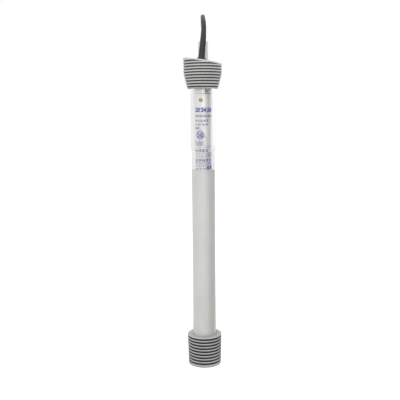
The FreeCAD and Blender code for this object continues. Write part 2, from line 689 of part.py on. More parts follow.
carrier_web = block("carrier_web", "web_width", "carrier_wall",
                    f"{STOPPER_FOOT} - seat_gap - {CARRIER_FOOT}", y=f"-{WEB_BACK}", z=CARRIER_FOOT)
eyelet_pillar = on_eyelet("eyelet_pillar", "eyelet_radius + seat_gap", EYELET_FACE, "0")
eyelet_hole = on_eyelet("eyelet_hole", EYELET_HOLE, f"2 * {EYELET_FACE}", "carrier_radius")
node("thermostat_carrier", cut(
    "thermostat_carrier", fuse("carrier_blank", carrier_shell, carrier_web, eyelet_pillar),
    eyelet_hole, *rivet_bars("web_rivet_hole", "rivet_radius + seat_gap / 2",
                             "-carrier_radius / 2", "carrier_radius")))
eyelet_ring = on_eyelet("eyelet_ring", "eyelet_radius", f"{EYELET_FACE} - eyelet_rim", EYELET_FACE)
eyelet_barrel = on_eyelet("eyelet_barrel", EYELET_BARREL, f"{EYELET_FACE} - eyelet_rim / 2",
                          f"{TERMINAL_BACK} + eyelet_rim / 2")
eyelet_flare = on_eyelet("eyelet_flare", f"{EYELET_HOLE} + eyelet_rim", TERMINAL_BACK,
                         f"{TERMINAL_BACK} + eyelet_rim")
eyelet_bore = on_eyelet("eyelet_opening", "eyelet_bore", f"2 * {EYELET_FACE}", "carrier_radius")
node("carrier_eyelet", cut("carrier_eyelet", fuse("eyelet_blank", eyelet_ring, eyelet_barrel,
                                                  eyelet_flare), eyelet_bore))
terminal = span("terminal_block",
                (f"-{COIL_CENTRE} - coil_lead_radius", "-terminal_inner_edge + seat_gap"),
                (WEB_BACK, TERMINAL_BACK),
                (f"{EYELET_Z} - terminal_height / 2", f"{EYELET_Z} + terminal_height / 2"))
node("supply_terminal", cut("supply_terminal", terminal, eyelet_hole))

# Contacts, magnet and bimetal strip on the back of the web
anchor_block = block("anchor_block", "anchor_width", f"strip_back - {WEB_BACK}", "anchor_height",
                     y=WEB_BACK, z=ANCHOR_FOOT)
anchor_wing = span("anchor_wing", ("0", f"{COIL_CENTRE} + coil_lead_radius"),
                   (WEB_BACK, LEAD_FACE), (ANCHOR_FOOT, f"{ANCHOR_FOOT} + anchor_height"))
node("anchor_bracket", cut("anchor_bracket", fuse("anchor_blank", anchor_block, anchor_wing),
                           *rivet_bars("anchor_hole", "rivet_radius + seat_gap / 2",
                                       "-carrier_radius / 2", "carrier_radius")))
rivet_shanks = rivet_bars("rivet_shank", "rivet_radius", f"-{WEB_BACK} - rivet_head / 2",
                          "strip_back + rivet_head / 2")
rivet_fronts = rivet_bars("rivet_front", "rivet_head_radius", f"-{WEB_BACK} - rivet_head",
                          f"-{WEB_BACK}")
rivet_backs = rivet_bars("rivet_back", "rivet_head_radius", "strip_back",
                         "strip_back + rivet_head")
node("anchor_rivets", group("anchor_rivets", *[
    fuse(f"anchor_rivet_{k}", *bars)
    for k, bars in enumerate(zip(rivet_shanks, rivet_fronts, rivet_backs))]))
node("bimetal_strip", block("bimetal_strip", "strip_width", "strip_thickness", "strip_length",
                            y="strip_back", z=STRIP_FOOT))
CONTACT_FACE = "(strip_back - moving_contact_height)"
LEAF_FACE = "(leaf_back + leaf_thickness)"
node("moving_contact", rod_back("moving_contact", "contact_radius", CONTACT_FACE, "strip_back",
                                z=CONTACT))
node("fixed_contact", rod_back("fixed_contact", "contact_radius", LEAF_FACE,
                               f"{CONTACT_FACE} - contact_gap", z=CONTACT))
leaf_blade = block("leaf_blade", "leaf_width", "leaf_thickness",
                   f"{STRIP_TOP} - leaf_below_tip - {CARRIER_FOOT} - leaf_rise",
                   y="leaf_back", z=f"{CARRIER_FOOT} + leaf_rise")
leaf_foot = block("leaf_foot", "leaf_foot_width", f"{LEAF_FACE} - {WEB_BACK}", "leaf_foot_height",
                  y=WEB_BACK, z=f"{CARRIER_FOOT} + leaf_rise")
node("contact_leaf", fuse("contact_leaf", leaf_blade, leaf_foot))
node("snap_magnet", block("snap_magnet", "magnet_width", f"strip_back - magnet_gap - {WEB_BACK}",
                          "magnet_height", y=WEB_BACK, z=f"{CARRIER_FOOT} + magnet_rise"))
LEAD_FEET = [f"{EYELET_Z} + {EYELET_HOLE} + eyelet_rim + seat_gap",
             f"{CARRIER_FOOT} + leaf_rise + leaf_foot_height"]
node("supply_leads", group("supply_leads", *[
    rod(f"supply_lead_{k}", "lead_radius", f"{FLANGE_TOP} - seat_gap - ({foot})", x=x, y=y, z=foot)
    for k, ((x, y), foot) in enumerate(zip(LEAD_PLACES, LEAD_FEET))]))

# Pilot lamp with a rounded end, held in the stopper
lamp = turned("pilot_lamp", [("0", "0"), ("lamp_radius", "0"), ("lamp_radius", LAMP_LENGTH),
                             ("0", LAMP_LENGTH)])
edge = circle_at(lamp.Tip, "0", "lamp_radius")
rounded(lamp, "lamp_end_round", lamp.Tip, [edge], "lamp_round")
node("pilot_lamp", place(lamp, "lamp_across", "-lamp_forward", LAMP_FOOT))

# Cord route: points chosen by hand, from the boot over the knob and down behind the tube
doc.recompute()
cord_radius = value("cord_radius")
pitch = 2 * cord_radius + value("strand_gap")
floor_height = cord_radius + value("floor_gap")
waist_low = floor_height + value("waist_lift")
waist_high = waist_low + 2 * cord_radius + value("waist_gap")
plug_axis = value("plug_thickness / 2 + floor_gap")
FIRST_LAYER, WAIST, PLUG_ACROSS, PLUG_FRONT = -9.1, 80.0, 0.5, 169.5
last_layer = FIRST_LAYER + value("hank_loops") * pitch
back_fold = WAIST + value("hank_run") / 2
front_fold = WAIST - value("hank_run") / 2
lean = math.radians(value("boot_lean"))
boot_place = Vector(value("boot_across"), -value("boot_forward"), value(BOOT_FOOT))
boot_way = Vector(math.sin(lean), 0, math.cos(lean))
ROUTE = [
    boot_place + boot_way * value("cord_start"), boot_place + boot_way * 30.5,
    Vector(0.7, 7.7, 357.8), Vector(0.5, 27.6, 358.6), Vector(1.3, 41.9, 344.6),
    Vector(1.4, 43.6, 308), Vector(0.8, 44.6, 254), Vector(-0.8, 44.9, 196),
    Vector(-3.5, 44.5, 138), Vector(-6.6, 43.5, 84), Vector(-8.6, 42.4, 47),
    Vector(-9.4, 43.2, 20), Vector(FIRST_LAYER, 58.3, waist_low),
    Vector(FIRST_LAYER, WAIST, waist_low)]
TAIL = [
    Vector(last_layer, back_fold, floor_height), Vector(last_layer, back_fold + 15, floor_height),
    Vector(PLUG_ACROSS, 152, plug_axis), Vector(PLUG_ACROSS, PLUG_FRONT, plug_axis)]
RUN_SHARE = 0.45


def line(here, there):
    return Part.LineSegment(here, there).toShape()


def arc(start, middle, end):
    return Part.Arc(start, middle, end).toShape()


def rounded_path(points):
    """Straight runs joined by tangent arcs, each arc as large as its two runs allow."""
    edges, here, radii = [], points[0], []
    for before, corner, after in zip(points, points[1:], points[2:]):
        to, away = (corner - before).normalize(), (after - corner).normalize()
        reach = RUN_SHARE * min((corner - before).Length, (after - corner).Length)
        turn = to.getAngle(away)
        start, end = corner - to * reach, corner + away * reach
        radius = reach / math.tan(turn / 2)
        inward = (away - to).normalize() * (radius / math.cos(turn / 2) - radius)
        edges += [line(here, start), arc(start, corner + inward, end)]
        here = end
        radii.append(radius)
    edges.append(line(here, points[-1]))
    return edges, radii


def pair_of_arcs(start, start_way, end, end_way):
    """Two arcs that leave start along one direction and reach end along another."""
    step = end - start
    a = 2 * (start_way.dot(end_way) - 1)
    b = -2 * step.dot(start_way + end_way)
    c = step.dot(step)
    reach = -c / b if abs(a) < 1e-9 else (-b - math.sqrt(b * b - 4 * a * c)) / (2 * a)
    joint = (start + start_way * reach + end - end_way * reach) * 0.5
    edges = []
    for here, way in ((start, start_way), (end, end_way * -1)):
        chord = joint - here
        side = chord - way * chord.dot(way)
        if side.Length < 1e-6:
            edges.append(line(here, joint))
            continue
        side.normalize()
        half = way.getAngle(chord)
        radius = chord.Length / (2 * math.sin(half))
        bulge = side * (radius * (1 - math.cos(half)))
        edges.append(arc(here, here + way * (radius * math.sin(half)) + bulge, joint))
    return edges


def tube_on(edges, radius, start, way):
    """A round tube swept along joined edges."""
    wire = Part.Wire(Part.__sortEdges__(edges))
    ring = Part.Wire(Part.Circle(start, way, radius).toShape())
    return wire.makePipeShell([ring], True, False)


def set_shape(name, shape):
    piece = doc.addObject("Part::Feature", name)
    piece.Shape = shape
    return node(name, piece)


def report_tube(name, edges, radius):
    """Print a tube's length and how its volume agrees with its section; return the length."""
    length = sum(edge.Length for edge in edges)
    share = nodes[name].Shape.Volume / (math.pi * radius ** 2 * length)
    print(f"{name}: length {length:.1f}, volume over section times length {share:.5f}")
    return length


def self_gap(edges, radius, step):
    """The least gap between stretches of one tube that lie apart along its line."""
    points, along, total = [], [], 0.0
    for edge in edges:
        count = max(2, int(edge.Length / step))
        for k in range(count):
            points.append(edge.valueAt(edge.getParameterByLength(edge.Length * k / count)))
            along.append(total + edge.Length * k / count)
        total += edge.Length
    least = float("inf")
    for i in range(len(points)):
        for j in range(i + 1, len(points)):
            if along[j] - along[i] > 6 * math.pi * radius:
                least = min(least, (points[i] - points[j]).Length)
    return least - 2 * radius


cord_edges, cord_radii = rounded_path(ROUTE)
tail_edges, tail_radii = rounded_path(TAIL)
set_shape("power_cord", tube_on(cord_edges, cord_radius, ROUTE[0], ROUTE[1] - ROUTE[0]))
set_shape("cord_tail", tube_on(tail_edges, cord_radius, TAIL[0], TAIL[1] - TAIL[0]))

# Hank: the unseen length folded to and fro on edge behind the foot, drawn in at its waist
fold = value("fold_radius")
top_height = floor_height + 2 * fold
straight = BACK * (2 * cord_radius)
hank_edges = [line(ROUTE[-1], ROUTE[-1] + straight)]
back_low = Vector(FIRST_LAYER, back_fold, floor_height)
hank_edges += pair_of_arcs(ROUTE[-1] + straight, BACK, back_low, BACK)
for loop in range(int(value("hank_loops"))):
    x = FIRST_LAYER + loop * pitch
    back_top = Vector(x, back_fold, top_height)
    hank_edges.append(arc(back_low, Vector(x, back_fold + fold, floor_height + fold), back_top))
    waist = Vector(x + pitch / 2, WAIST, waist_high)
    x += pitch
    front_top, front_low = Vector(x, front_fold, top_height), Vector(x, front_fold, floor_height)
    hank_edges += pair_of_arcs(back_top, -BACK, waist, -BACK)
    hank_edges += pair_of_arcs(waist, -BACK, front_top, -BACK)
    hank_edges.append(arc(front_top, Vector(x, front_fold - fold, floor_height + fold), front_low))
    waist = Vector(x, WAIST, waist_low)
    back_low = Vector(x, back_fold, floor_height)
    hank_edges += pair_of_arcs(front_low, BACK, waist, BACK)
    last = loop + 1 == int(value("hank_loops"))
    arrive = back_low - straight if last else back_low
    hank_edges += pair_of_arcs(waist, BACK, arrive, BACK)
hank_edges.append(line(arrive, back_low))
set_shape("cord_hank", tube_on(hank_edges, cord_radius, ROUTE[-1], BACK))

# Tie round the hank's waist


def tie_bar(grow):
    """A bar with round edges about the strands at the waist, as long as the tie is wide."""
    edge = cord_radius + grow
    left, right = FIRST_LAYER - edge, last_layer + edge
    low, high = waist_low - edge, waist_high + edge
    slant = edge * (1 - math.sqrt(0.5))
    corners = [
        ((left, low + edge), (left + slant, low + slant), (left + edge, low)),
        ((right - edge, low), (right - slant, low + slant), (right, low + edge)),
        ((right, high - edge), (right - slant, high - slant), (right - edge, high)),
        ((left + edge, high), (left + slant, high - slant), (left, high - edge))]
    front = WAIST - value("tie_width") / 2
    edges = []
    for here, following in zip(corners, corners[1:] + corners[:1]):
        a, b, c = (Vector(u, front, v) for u, v in here)
        u, v = following[0]
        edges += [arc(a, b, c), line(c, Vector(u, front, v))]
    return Part.Face(Part.Wire(edges)).extrude(BACK * value("tie_width"))


set_shape("cord_tie", tie_bar(value("tie_gap + tie_thickness")).cut(tie_bar(value("tie_gap"))))

# Plug at the cord's end, lying flat behind the hank
PLUG_X, PLUG_Z = str(PLUG_ACROSS), "plug_thickness / 2 + floor_gap"
PLUG_FOOT = f"({PLUG_FRONT} + plug_relief_length)"
BLADE_FOOT = f"({PLUG_FOOT} + plug_length)"
body = doc.addObject("PartDesign::Body", "plug_block")
sketch = sketch_in(body, "plug_outline", "XZ_Plane")
draw(sketch, [("-plug_width / 2", "-plug_thickness / 2"), ("plug_width / 2", "-plug_thickness / 2"),
              ("plug_width / 2", "plug_thickness / 2"), ("-plug_width / 2", "plug_thickness / 2")])
pad = pad_on(body, "plug_pad", sketch, "plug_length", True)
rounded(body, "plug_round", pad, None, "plug_edge")
place(body, PLUG_X, PLUG_FOOT, PLUG_Z)
relief = solid("Cone", "plug_relief", x=PLUG_X, y=str(PLUG_FRONT), z=PLUG_Z, axis=ACROSS,
               angle="-90", Radius1="cord_radius + relief_tip_wall",
               Radius2="cord_radius + relief_foot_wall",
               Height="plug_relief_length + plug_edge")
node("plug_body", fuse("plug_body", body, relief))
blades = []
for k, side in enumerate((-1, 1)):
    x = f"{PLUG_ACROSS} + {side} * blade_spacing / 2"
    blade = block(f"blade_{k}", "blade_thickness", "blade_length", "blade_height", x=x,
                  y=BLADE_FOOT, z=f"{PLUG_Z} - blade_height / 2")
    hole = rod(f"blade_hole_{k}", "blade_hole_radius", "blade_height", axis=BACK, angle="90",
               x=f"{x} - blade_height / 2", y=f"{BLADE_FOOT} + blade_length - blade_hole_inset",
               z=PLUG_Z)
    blades.append(cut(f"blade_holed_{k}", blade, hole))
node("plug_blades", group("plug_blades", *blades))

# Heating coil wound on the core, its straight ends square to the leads beside it
coil_wire, coil_centre = value("coil_wire_radius"), value(COIL_CENTRE)
coil_pitch = value(COIL_PITCH)
QUARTERS = 4


def coil_point(quarter):
    """A place on the coil, which starts at the left, and the way the wire runs there."""
    angle = math.pi + quarter * math.tau / QUARTERS
    rise = value(COIL_FOOT) + quarter * coil_pitch / QUARTERS
    spot = Vector(coil_centre * math.cos(angle), coil_centre * math.sin(angle), rise)
    climb = coil_pitch / math.tau
    way = Vector(-coil_centre * math.sin(angle), coil_centre * math.cos(angle), climb)
    return spot, way.normalize()


coil_end = int(QUARTERS * (value("coil_turns") + 0.5))
first_spot, first_way = coil_point(0)
last_spot, last_way = coil_point(coil_end)
end_run = value(LEAD_FACE)
coil_edges = [line(first_spot - first_way * end_run, first_spot)]
for quarter in range(coil_end):
    coil_edges += pair_of_arcs(*coil_point(quarter), *coil_point(quarter + 1))
coil_edges.append(line(last_spot, last_spot + last_way * end_run))
set_shape("heating_coil", tube_on(coil_edges, coil_wire, first_spot - first_way * end_run,
                                  first_way))

doc.recompute()

# Everything is checked before anything is written
failed = [o.Label for o in doc.Objects if "Invalid" in o.State or "Error" in o.State]
for name, piece in nodes.items():
    shape = piece.Shape
    if shape.isNull() or not shape.isValid() or not shape.Solids:
        failed.append(name)
if failed:
    raise RuntimeError("not sound: " + ", ".join(failed))

cord_length = (report_tube("power_cord", cord_edges, cord_radius)
               + report_tube("cord_hank", hank_edges, cord_radius)
               + report_tube("cord_tail", tail_edges, cord_radius))
report_tube("heating_coil", coil_edges, coil_wire)
print(f"cord from its start in the boot to the plug: {cord_length:.1f}")
print("radii of the cord's arcs", [round(r, 1) for r in cord_radii + tail_radii])
print(f"least gap of the hank to itself {self_gap(hank_edges, cord_radius, 2.0):.2f}")
print(f"least gap of the coil to itself {self_gap(coil_edges, coil_wire, 1.0):.2f}")

os.makedirs("parts", exist_ok=True)
for name, piece in nodes.items():
    piece.Shape.exportStep(f"parts/{name}.step")
print(len(nodes), "sub-parts written")
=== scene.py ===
import math

import bmesh
import bpy
from mathutils import Matrix, Vector


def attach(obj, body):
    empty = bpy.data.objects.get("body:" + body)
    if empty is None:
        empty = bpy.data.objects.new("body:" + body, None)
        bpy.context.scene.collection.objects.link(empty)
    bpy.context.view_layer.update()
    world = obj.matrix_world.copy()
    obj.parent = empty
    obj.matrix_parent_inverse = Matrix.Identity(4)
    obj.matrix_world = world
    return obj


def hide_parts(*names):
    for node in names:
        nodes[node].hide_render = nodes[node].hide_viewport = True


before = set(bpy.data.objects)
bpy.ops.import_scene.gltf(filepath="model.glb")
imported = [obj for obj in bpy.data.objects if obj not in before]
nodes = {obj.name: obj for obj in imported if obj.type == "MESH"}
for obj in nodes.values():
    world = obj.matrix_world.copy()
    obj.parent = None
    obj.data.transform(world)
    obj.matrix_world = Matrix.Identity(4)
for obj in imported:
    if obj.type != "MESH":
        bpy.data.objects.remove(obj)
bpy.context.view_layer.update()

MM = 0.001

# The photograph is a small product shot of the whole heater, taken from in front and a little
# above. The tube leans half a degree in it, so the camera is rolled by as much.
CAMERA_PLACE = (0.0, -0.640, 0.2597)
CAMERA_LENS = 56.7
CAMERA_YAW, CAMERA_DOWN, CAMERA_ROLL = 0.33, 7.7, -0.5

camera_data = bpy.data.cameras.new("camera")
camera_data.lens = CAMERA_LENS
camera_data.sensor_width = 36.0
camera_data.clip_start = 0.01
camera = bpy.data.objects.new("camera", camera_data)
bpy.context.scene.collection.objects.link(camera)
camera.matrix_world = (Matrix.Translation(CAMERA_PLACE)
                       @ Matrix.Rotation(math.radians(CAMERA_YAW), 4, "Z")
                       @ Matrix.Rotation(math.radians(90 - CAMERA_DOWN), 4, "X")
                       @ Matrix.Rotation(math.radians(CAMERA_ROLL), 4, "Z"))
bpy.context.scene.camera = camera

# The supply cord is a round two-core mains lead with a black PVC sheath, pressed over its cores.
# It leaves the head through its boot, drops behind the tube and is folded into a hank on the
# floor, and its last stretch rises to the plug.
CORD_RADIUS = 2.15 * MM
# Its route in millimetres: up through the boot, over and down behind the tube, on to the floor.
FALL = [
    (-0.07, -6.5, 323.78), (1.99, -6.5, 343.37), (0.7, 7.7, 357.8), (0.5, 27.6, 358.6),
    (1.3, 41.9, 344.6), (1.4, 43.6, 308), (0.8, 44.6, 254), (-0.8, 44.9, 196),
    (-3.5, 44.5, 138), (-6.6, 43.5, 84), (-8.6, 42.4, 47), (-9.4, 43.2, 20),
    (-9.1, 58.3, 3.8), (-9.1, 80, 3.8)]
# The hank's strands lie side by side, folded at both ends and drawn in at the waist by the strap.
FIRST_STRAND, STRAND_PITCH, LOOPS = -9.1, 4.8, 4
FRONT_FOLD, WAIST, BACK_FOLD = 42.0, 80.0, 118.0
FOLD, SIDE = 13.9, 5.76
LOW_RUN, LOW_WAIST, HIGH_WAIST = 2.2, 3.8, 8.3
DRAWN_IN = [(101, 23), (92.5, 13.2), (84.5, HIGH_WAIST), (75.5, HIGH_WAIST), (67.5, 13.2),
            (59, 23)]
TAIL = [(10.1, 118, 2.2), (10.1, 133, 2.2), (0.5, 152, 7.75), (0.5, 169.5, 7.75)]


def fold_at(x, y, way):
    """The lead bent back on itself at one end of the hank, from the floor up."""
    middle, top = LOW_RUN + FOLD, LOW_RUN + 2 * FOLD
    return [(x, y - way * SIDE, LOW_RUN), (x, y + way * SIDE, LOW_RUN),
            (x, y + way * FOLD, middle - SIDE), (x, y + way * FOLD, middle + SIDE),
            (x, y + way * SIDE, top), (x, y - way * SIDE, top)]


cord_points = list(FALL)
for loop in range(LOOPS):
    x = FIRST_STRAND + loop * STRAND_PITCH
    cord_points += fold_at(x, BACK_FOLD, 1)
    steps = len(DRAWN_IN) + 1
    cord_points += [(x + STRAND_PITCH * (k + 1) / steps, y, z)
                    for k, (y, z) in enumerate(DRAWN_IN)]
    x += STRAND_PITCH
    cord_points += fold_at(x, FRONT_FOLD, -1)[::-1]
    cord_points.append((x, WAIST, LOW_WAIST))
cord_points += TAIL

cord_line = bpy.data.curves.new("supply_cord", "CURVE")
cord_line.dimensions = "3D"
spline = cord_line.splines.new("NURBS")
spline.points.add(len(cord_points) - 1)
for point, place in zip(spline.points, cord_points):
    point.co = (*(Vector(place) * MM), 1.0)
spline.order_u = 3
spline.use_endpoint_u = True
spline.resolution_u = 10
cord_line.bevel_depth = CORD_RADIUS
cord_line.bevel_resolution = 6
cord_line.use_fill_caps = True


def linear(red, green, blue):
    """A colour as it looks on a screen, 0 to 255, in the values that a shader takes."""
    return (*[((c / 255 + 0.055) / 1.055) ** 2.4 for c in (red, green, blue)], 1.0)


def feed(tree, node, inputs):
    """Give a node's inputs their values, or the sockets that lead to them."""
    for name, value in inputs.items():
        if isinstance(value, bpy.types.NodeSocket):
            tree.links.new(value, node.inputs[name])
        else:
            node.inputs[name].default_value = value
    return node


def put(tree, kind, inputs, **settings):
    """Add a node with its settings and inputs."""
    node = tree.nodes.new(kind)
    for name, value in settings.items():
        setattr(node, name, value)
    return feed(tree, node, inputs)


def blended(tree, share, first, second):
    """A colour between two others."""
    mix = put(tree, "ShaderNodeMix", {}, data_type="RGBA")
    return feed(tree, mix, {0: share, 6: first, 7: second}).outputs[2]


def ranged(tree, value, low, high, to_low=0.0, to_high=1.0):
    """A value's range, stretched on to another."""
    return put(tree, "ShaderNodeMapRange", {
        "Value": value, "From Min": low, "From Max": high,
        "To Min": to_low, "To Max": to_high}).outputs["Result"]


def product(tree, first, second):
    """Two values multiplied."""
    return put(tree, "ShaderNodeMath", {0: first, 1: second}, operation="MULTIPLY").outputs[0]


def noise(tree, per_metre, detail, stretched=None):
    """Soft noise over the piece, even or stretched along its axes."""
    spot = put(tree, "ShaderNodeTexCoord", {}).outputs["Object"]
    if stretched:
        spot = put(tree, "ShaderNodeMapping", {"Vector": spot, "Scale": stretched}).outputs[0]
    return put(tree, "ShaderNodeTexNoise", {
        "Vector": spot, "Scale": per_metre, "Detail": detail}).outputs[0]


def bumped(tree, height, strength, depth):
    """A surface's normals, tilted by the height over it."""
    return put(tree, "ShaderNodeBump", {
        "Height": height, "Strength": strength, "Distance": depth}).outputs[0]


def effect(name, inputs, outputs):
    """A shader effect that several finishes share, with its two ends."""
    group = bpy.data.node_groups.new(name, "ShaderNodeTree")
    number = "NodeSocketFloat"
    for socket, default in inputs.items():
        group.interface.new_socket(
            name=socket, in_out="INPUT", socket_type=number).default_value = default
    for socket in outputs:
        group.interface.new_socket(name=socket, in_out="OUTPUT", socket_type=number)
    return group, group.nodes.new("NodeGroupInput").outputs, group.nodes.new("NodeGroupOutput")


def finish(name):
    """A new finish, its nodes and its shader."""
    material = bpy.data.materials.new(name)
    material.use_nodes = True
    return material, material.node_tree, material.node_tree.nodes["Principled BSDF"]


moulded_grain, given, result = effect(
    "moulded grain", {"Grains per metre": 2200.0, "Clouds per metre": 70.0},
    ["Height", "Speck", "Cloud"])
spot = put(moulded_grain, "ShaderNodeTexCoord", {}).outputs["Object"]
fine = put(moulded_grain, "ShaderNodeTexNoise", {
    "Vector": spot, "Scale": given["Grains per metre"],
    "Detail": 3.0, "Roughness": 0.6}).outputs[0]
pits = put(moulded_grain, "ShaderNodeTexVoronoi", {
    "Vector": spot, "Scale": given["Grains per metre"]}).outputs["Distance"]
cloud = noise(moulded_grain, given["Clouds per metre"], 4.0)
feed(moulded_grain, result, {
    "Height": put(moulded_grain, "ShaderNodeMath", {0: fine, 1: pits}).outputs[0],
    "Speck": ranged(moulded_grain, fine, 0.58, 0.74),
    "Cloud": ranged(moulded_grain, cloud, 0.35, 0.65)})

black_sheath, tree, shader = finish("black sheath")
grain = put(tree, "ShaderNodeGroup", {}, node_tree=moulded_grain)
feed(tree, grain, {"Grains per metre": 1600.0, "Clouds per metre": 45.0})
feed(tree, shader, {
    "Base Color": blended(tree, grain.outputs["Cloud"], linear(40, 40, 41), linear(52, 52, 53)),
    "Roughness": ranged(tree, grain.outputs["Cloud"], 0, 1, 0.4, 0.55),
    "Specular IOR Level": 0.3,
    "Normal": bumped(tree, grain.outputs["Height"], 0.25, 0.00008)})
cord_line.materials.append(black_sheath)


def add_piece(name, data, body, replaced=()):
    """Put a new piece in the scene, on its body, for the nodes that it stands for."""
    piece = bpy.data.objects.new(name, data)
    bpy.context.scene.collection.objects.link(piece)
    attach(piece, body)
    if replaced:
        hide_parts(*replaced)
    return piece


supply_cord = add_piece("supply_cord", cord_line, "heater",
                        ["power_cord", "cord_hank", "cord_tail"])

# The plug is black PVC moulded round two brass blades and the end of the cord, with ribs for the
# fingers on both faces and a ringed tail that lets the cord bend.
PLUG_AXIS_X, PLUG_AXIS_Z = 0.5, 7.75
PLUG_AROUND = 64
# The round tail's stations are a distance along the cord and a radius.
TAIL_STATIONS = [(169.5, 2.9), (170.0, 3.2), (171.3, 3.25), (171.6, 2.75), (172.4, 2.8),
                 (172.7, 3.5), (173.9, 3.6), (174.2, 3.0), (175.0, 3.1), (175.3, 3.9),
                 (176.5, 4.1), (176.8, 3.4), (177.6, 3.5), (177.9, 4.4), (179.0, 4.8)]
# The body's are a distance along the cord, half width, half thickness and squareness.
BODY_STATIONS = [(179.6, 6.6, 5.4, 2.6), (180.4, 8.6, 6.5, 3.2), (181.8, 10.2, 7.2, 4.0),
                 (183.6, 10.9, 7.6, 4.6), (186.0, 10.7, 7.3, 4.6), (187.2, 10.4, 6.9, 4.6),
                 (188.0, 10.3, 7.3, 4.6), (189.0, 10.2, 7.3, 4.6), (189.8, 10.2, 6.8, 4.6),
                 (190.6, 10.2, 7.3, 4.6), (191.6, 10.2, 7.3, 4.6), (192.4, 10.2, 6.8, 4.6),
                 (193.2, 10.3, 7.3, 4.6), (194.2, 10.4, 7.3, 4.6), (195.0, 10.5, 6.9, 4.6),
                 (196.4, 10.8, 7.5, 4.8), (199.0, 10.95, 7.65, 5.0), (202.0, 10.95, 7.65, 5.0),
                 (203.0, 10.7, 7.4, 5.0), (203.5, 9.9, 6.6, 5.0)]


def smooth_mesh(made, sharp=40):
    """Finish a mesh: smooth faces, with edges left sharp where it turns by more than this."""
    bmesh.ops.recalc_face_normals(made, faces=made.faces)
    mesh = bpy.data.meshes.new("mesh")
    made.to_mesh(mesh)
    made.free()
    mesh.polygons.foreach_set("use_smooth", [True] * len(mesh.polygons))
    mesh.set_sharp_from_angle(angle=math.radians(sharp))
    return mesh


def skin(made, loops, closed=False):
    """Faces between neighbouring loops of corners, and over the two ends unless it closes."""
    for here, there in zip(loops, loops[1:] + (loops[:1] if closed else [])):
        for k in range(len(here)):
            after = (k + 1) % len(here)
            made.faces.new((here[k], here[after], there[after], there[k]))
    if not closed:
        made.faces.new(loops[0])
        made.faces.new(loops[-1])


made = bmesh.new()
loops = []
for along, wide, thick, square in [(y, r, r, 2.0) for y, r in TAIL_STATIONS] + BODY_STATIONS:
    corners = []
    for k in range(PLUG_AROUND):
        turn = math.tau * k / PLUG_AROUND
        across = math.copysign(abs(math.cos(turn)) ** (2 / square), math.cos(turn)) * wide
        up = math.copysign(abs(math.sin(turn)) ** (2 / square), math.sin(turn)) * thick
        place = Vector((PLUG_AXIS_X + across, along, PLUG_AXIS_Z + up))
        corners.append(made.verts.new(place * MM))
    loops.append(corners)
skin(made, loops)
plug = add_piece(
    "plug_moulding", smooth_mesh(made, sharp=32), "heater", ["plug_body"])

edge_wear, given, result = effect(
    "edge wear", {"Reach": 0.0005, "Marks per metre": 700.0}, ["Wear"])
rounder = put(edge_wear, "ShaderNodeBevel", {"Radius": given["Reach"]}, samples=4).outputs[0]
plain = put(edge_wear, "ShaderNodeNewGeometry", {}).outputs["Normal"]
alike = put(edge_wear, "ShaderNodeVectorMath", {0: rounder, 1: plain}, operation="DOT_PRODUCT")
marks = noise(edge_wear, given["Marks per metre"], 3.0)
at_edge = ranged(edge_wear, alike.outputs["Value"], 0.995, 0.86)
feed(edge_wear, result, {"Wear": product(edge_wear, at_edge, ranged(edge_wear, marks, 0.3, 0.6))})

# Ambient occlusion marks corners and grooves, broken up by noise. The colour laid there is dust on
# dark finishes and painted shade on pale ones, which it darkens.
groove_dust_and_shade, given, result = effect(
    "groove dust and shade", {"Reach": 0.002, "Drifts per metre": 160.0}, ["Dust and shade"])
shut_in = put(groove_dust_and_shade, "ShaderNodeAmbientOcclusion", {"Distance": given["Reach"]}, samples=6)
drifts = noise(groove_dust_and_shade, given["Drifts per metre"], 4.0)
in_corner = ranged(groove_dust_and_shade, shut_in.outputs["AO"], 0.85, 0.35)
feed(groove_dust_and_shade, result, {
    "Dust and shade": product(groove_dust_and_shade, in_corner, ranged(groove_dust_and_shade, drifts, 0.35, 0.7))})


def moulded_finish(name, dark, light, worn, dust_and_shade_tone, grains, depth, rough, shine=0.5, gleam=0.0):
    """Moulded rubber or plastic: clouded colour, fine grain, paler edges, and a corner tone that
    is dust on dark finishes and painted shade on pale ones.
    """
    material, tree, shader = finish(name)
    grain = put(tree, "ShaderNodeGroup", {}, node_tree=moulded_grain)
    feed(tree, grain, {"Grains per metre": grains, "Clouds per metre": 60.0})
    wear = put(tree, "ShaderNodeGroup", {}, node_tree=edge_wear).outputs["Wear"]
    dust_and_shade = put(tree, "ShaderNodeGroup", {}, node_tree=groove_dust_and_shade).outputs["Dust and shade"]
    tone = blended(tree, grain.outputs["Cloud"], linear(*dark), linear(*light))
    tone = blended(tree, product(tree, grain.outputs["Speck"], 0.25), tone, linear(*worn))
    tone = blended(tree, product(tree, wear, 0.7), tone, linear(*worn))
    # In corners: dust on dark finishes, painted shade on pale ones.
    tone = blended(tree, product(tree, dust_and_shade, 0.35), tone, linear(*dust_and_shade_tone))
    feed(tree, shader, {
        "Base Color": tone,
        "Roughness": ranged(tree, grain.outputs["Cloud"], 0, 1, *rough),
        "Specular IOR Level": shine, "Metallic": gleam,
        "Normal": bumped(tree, grain.outputs["Height"], 0.35, depth)})
    return material


black_moulding = moulded_finish(
    "black moulding", (38, 38, 39), (48, 48, 49), (84, 84, 85), (86, 85, 82),
    grains=1500.0, depth=0.00010, rough=(0.42, 0.6), shine=0.3)
plug.data.materials.append(black_moulding)


def dress(names, material):
    """Give CAD nodes their finish."""
    for name in names:
        for place in nodes[name].material_slots:
            place.material = material


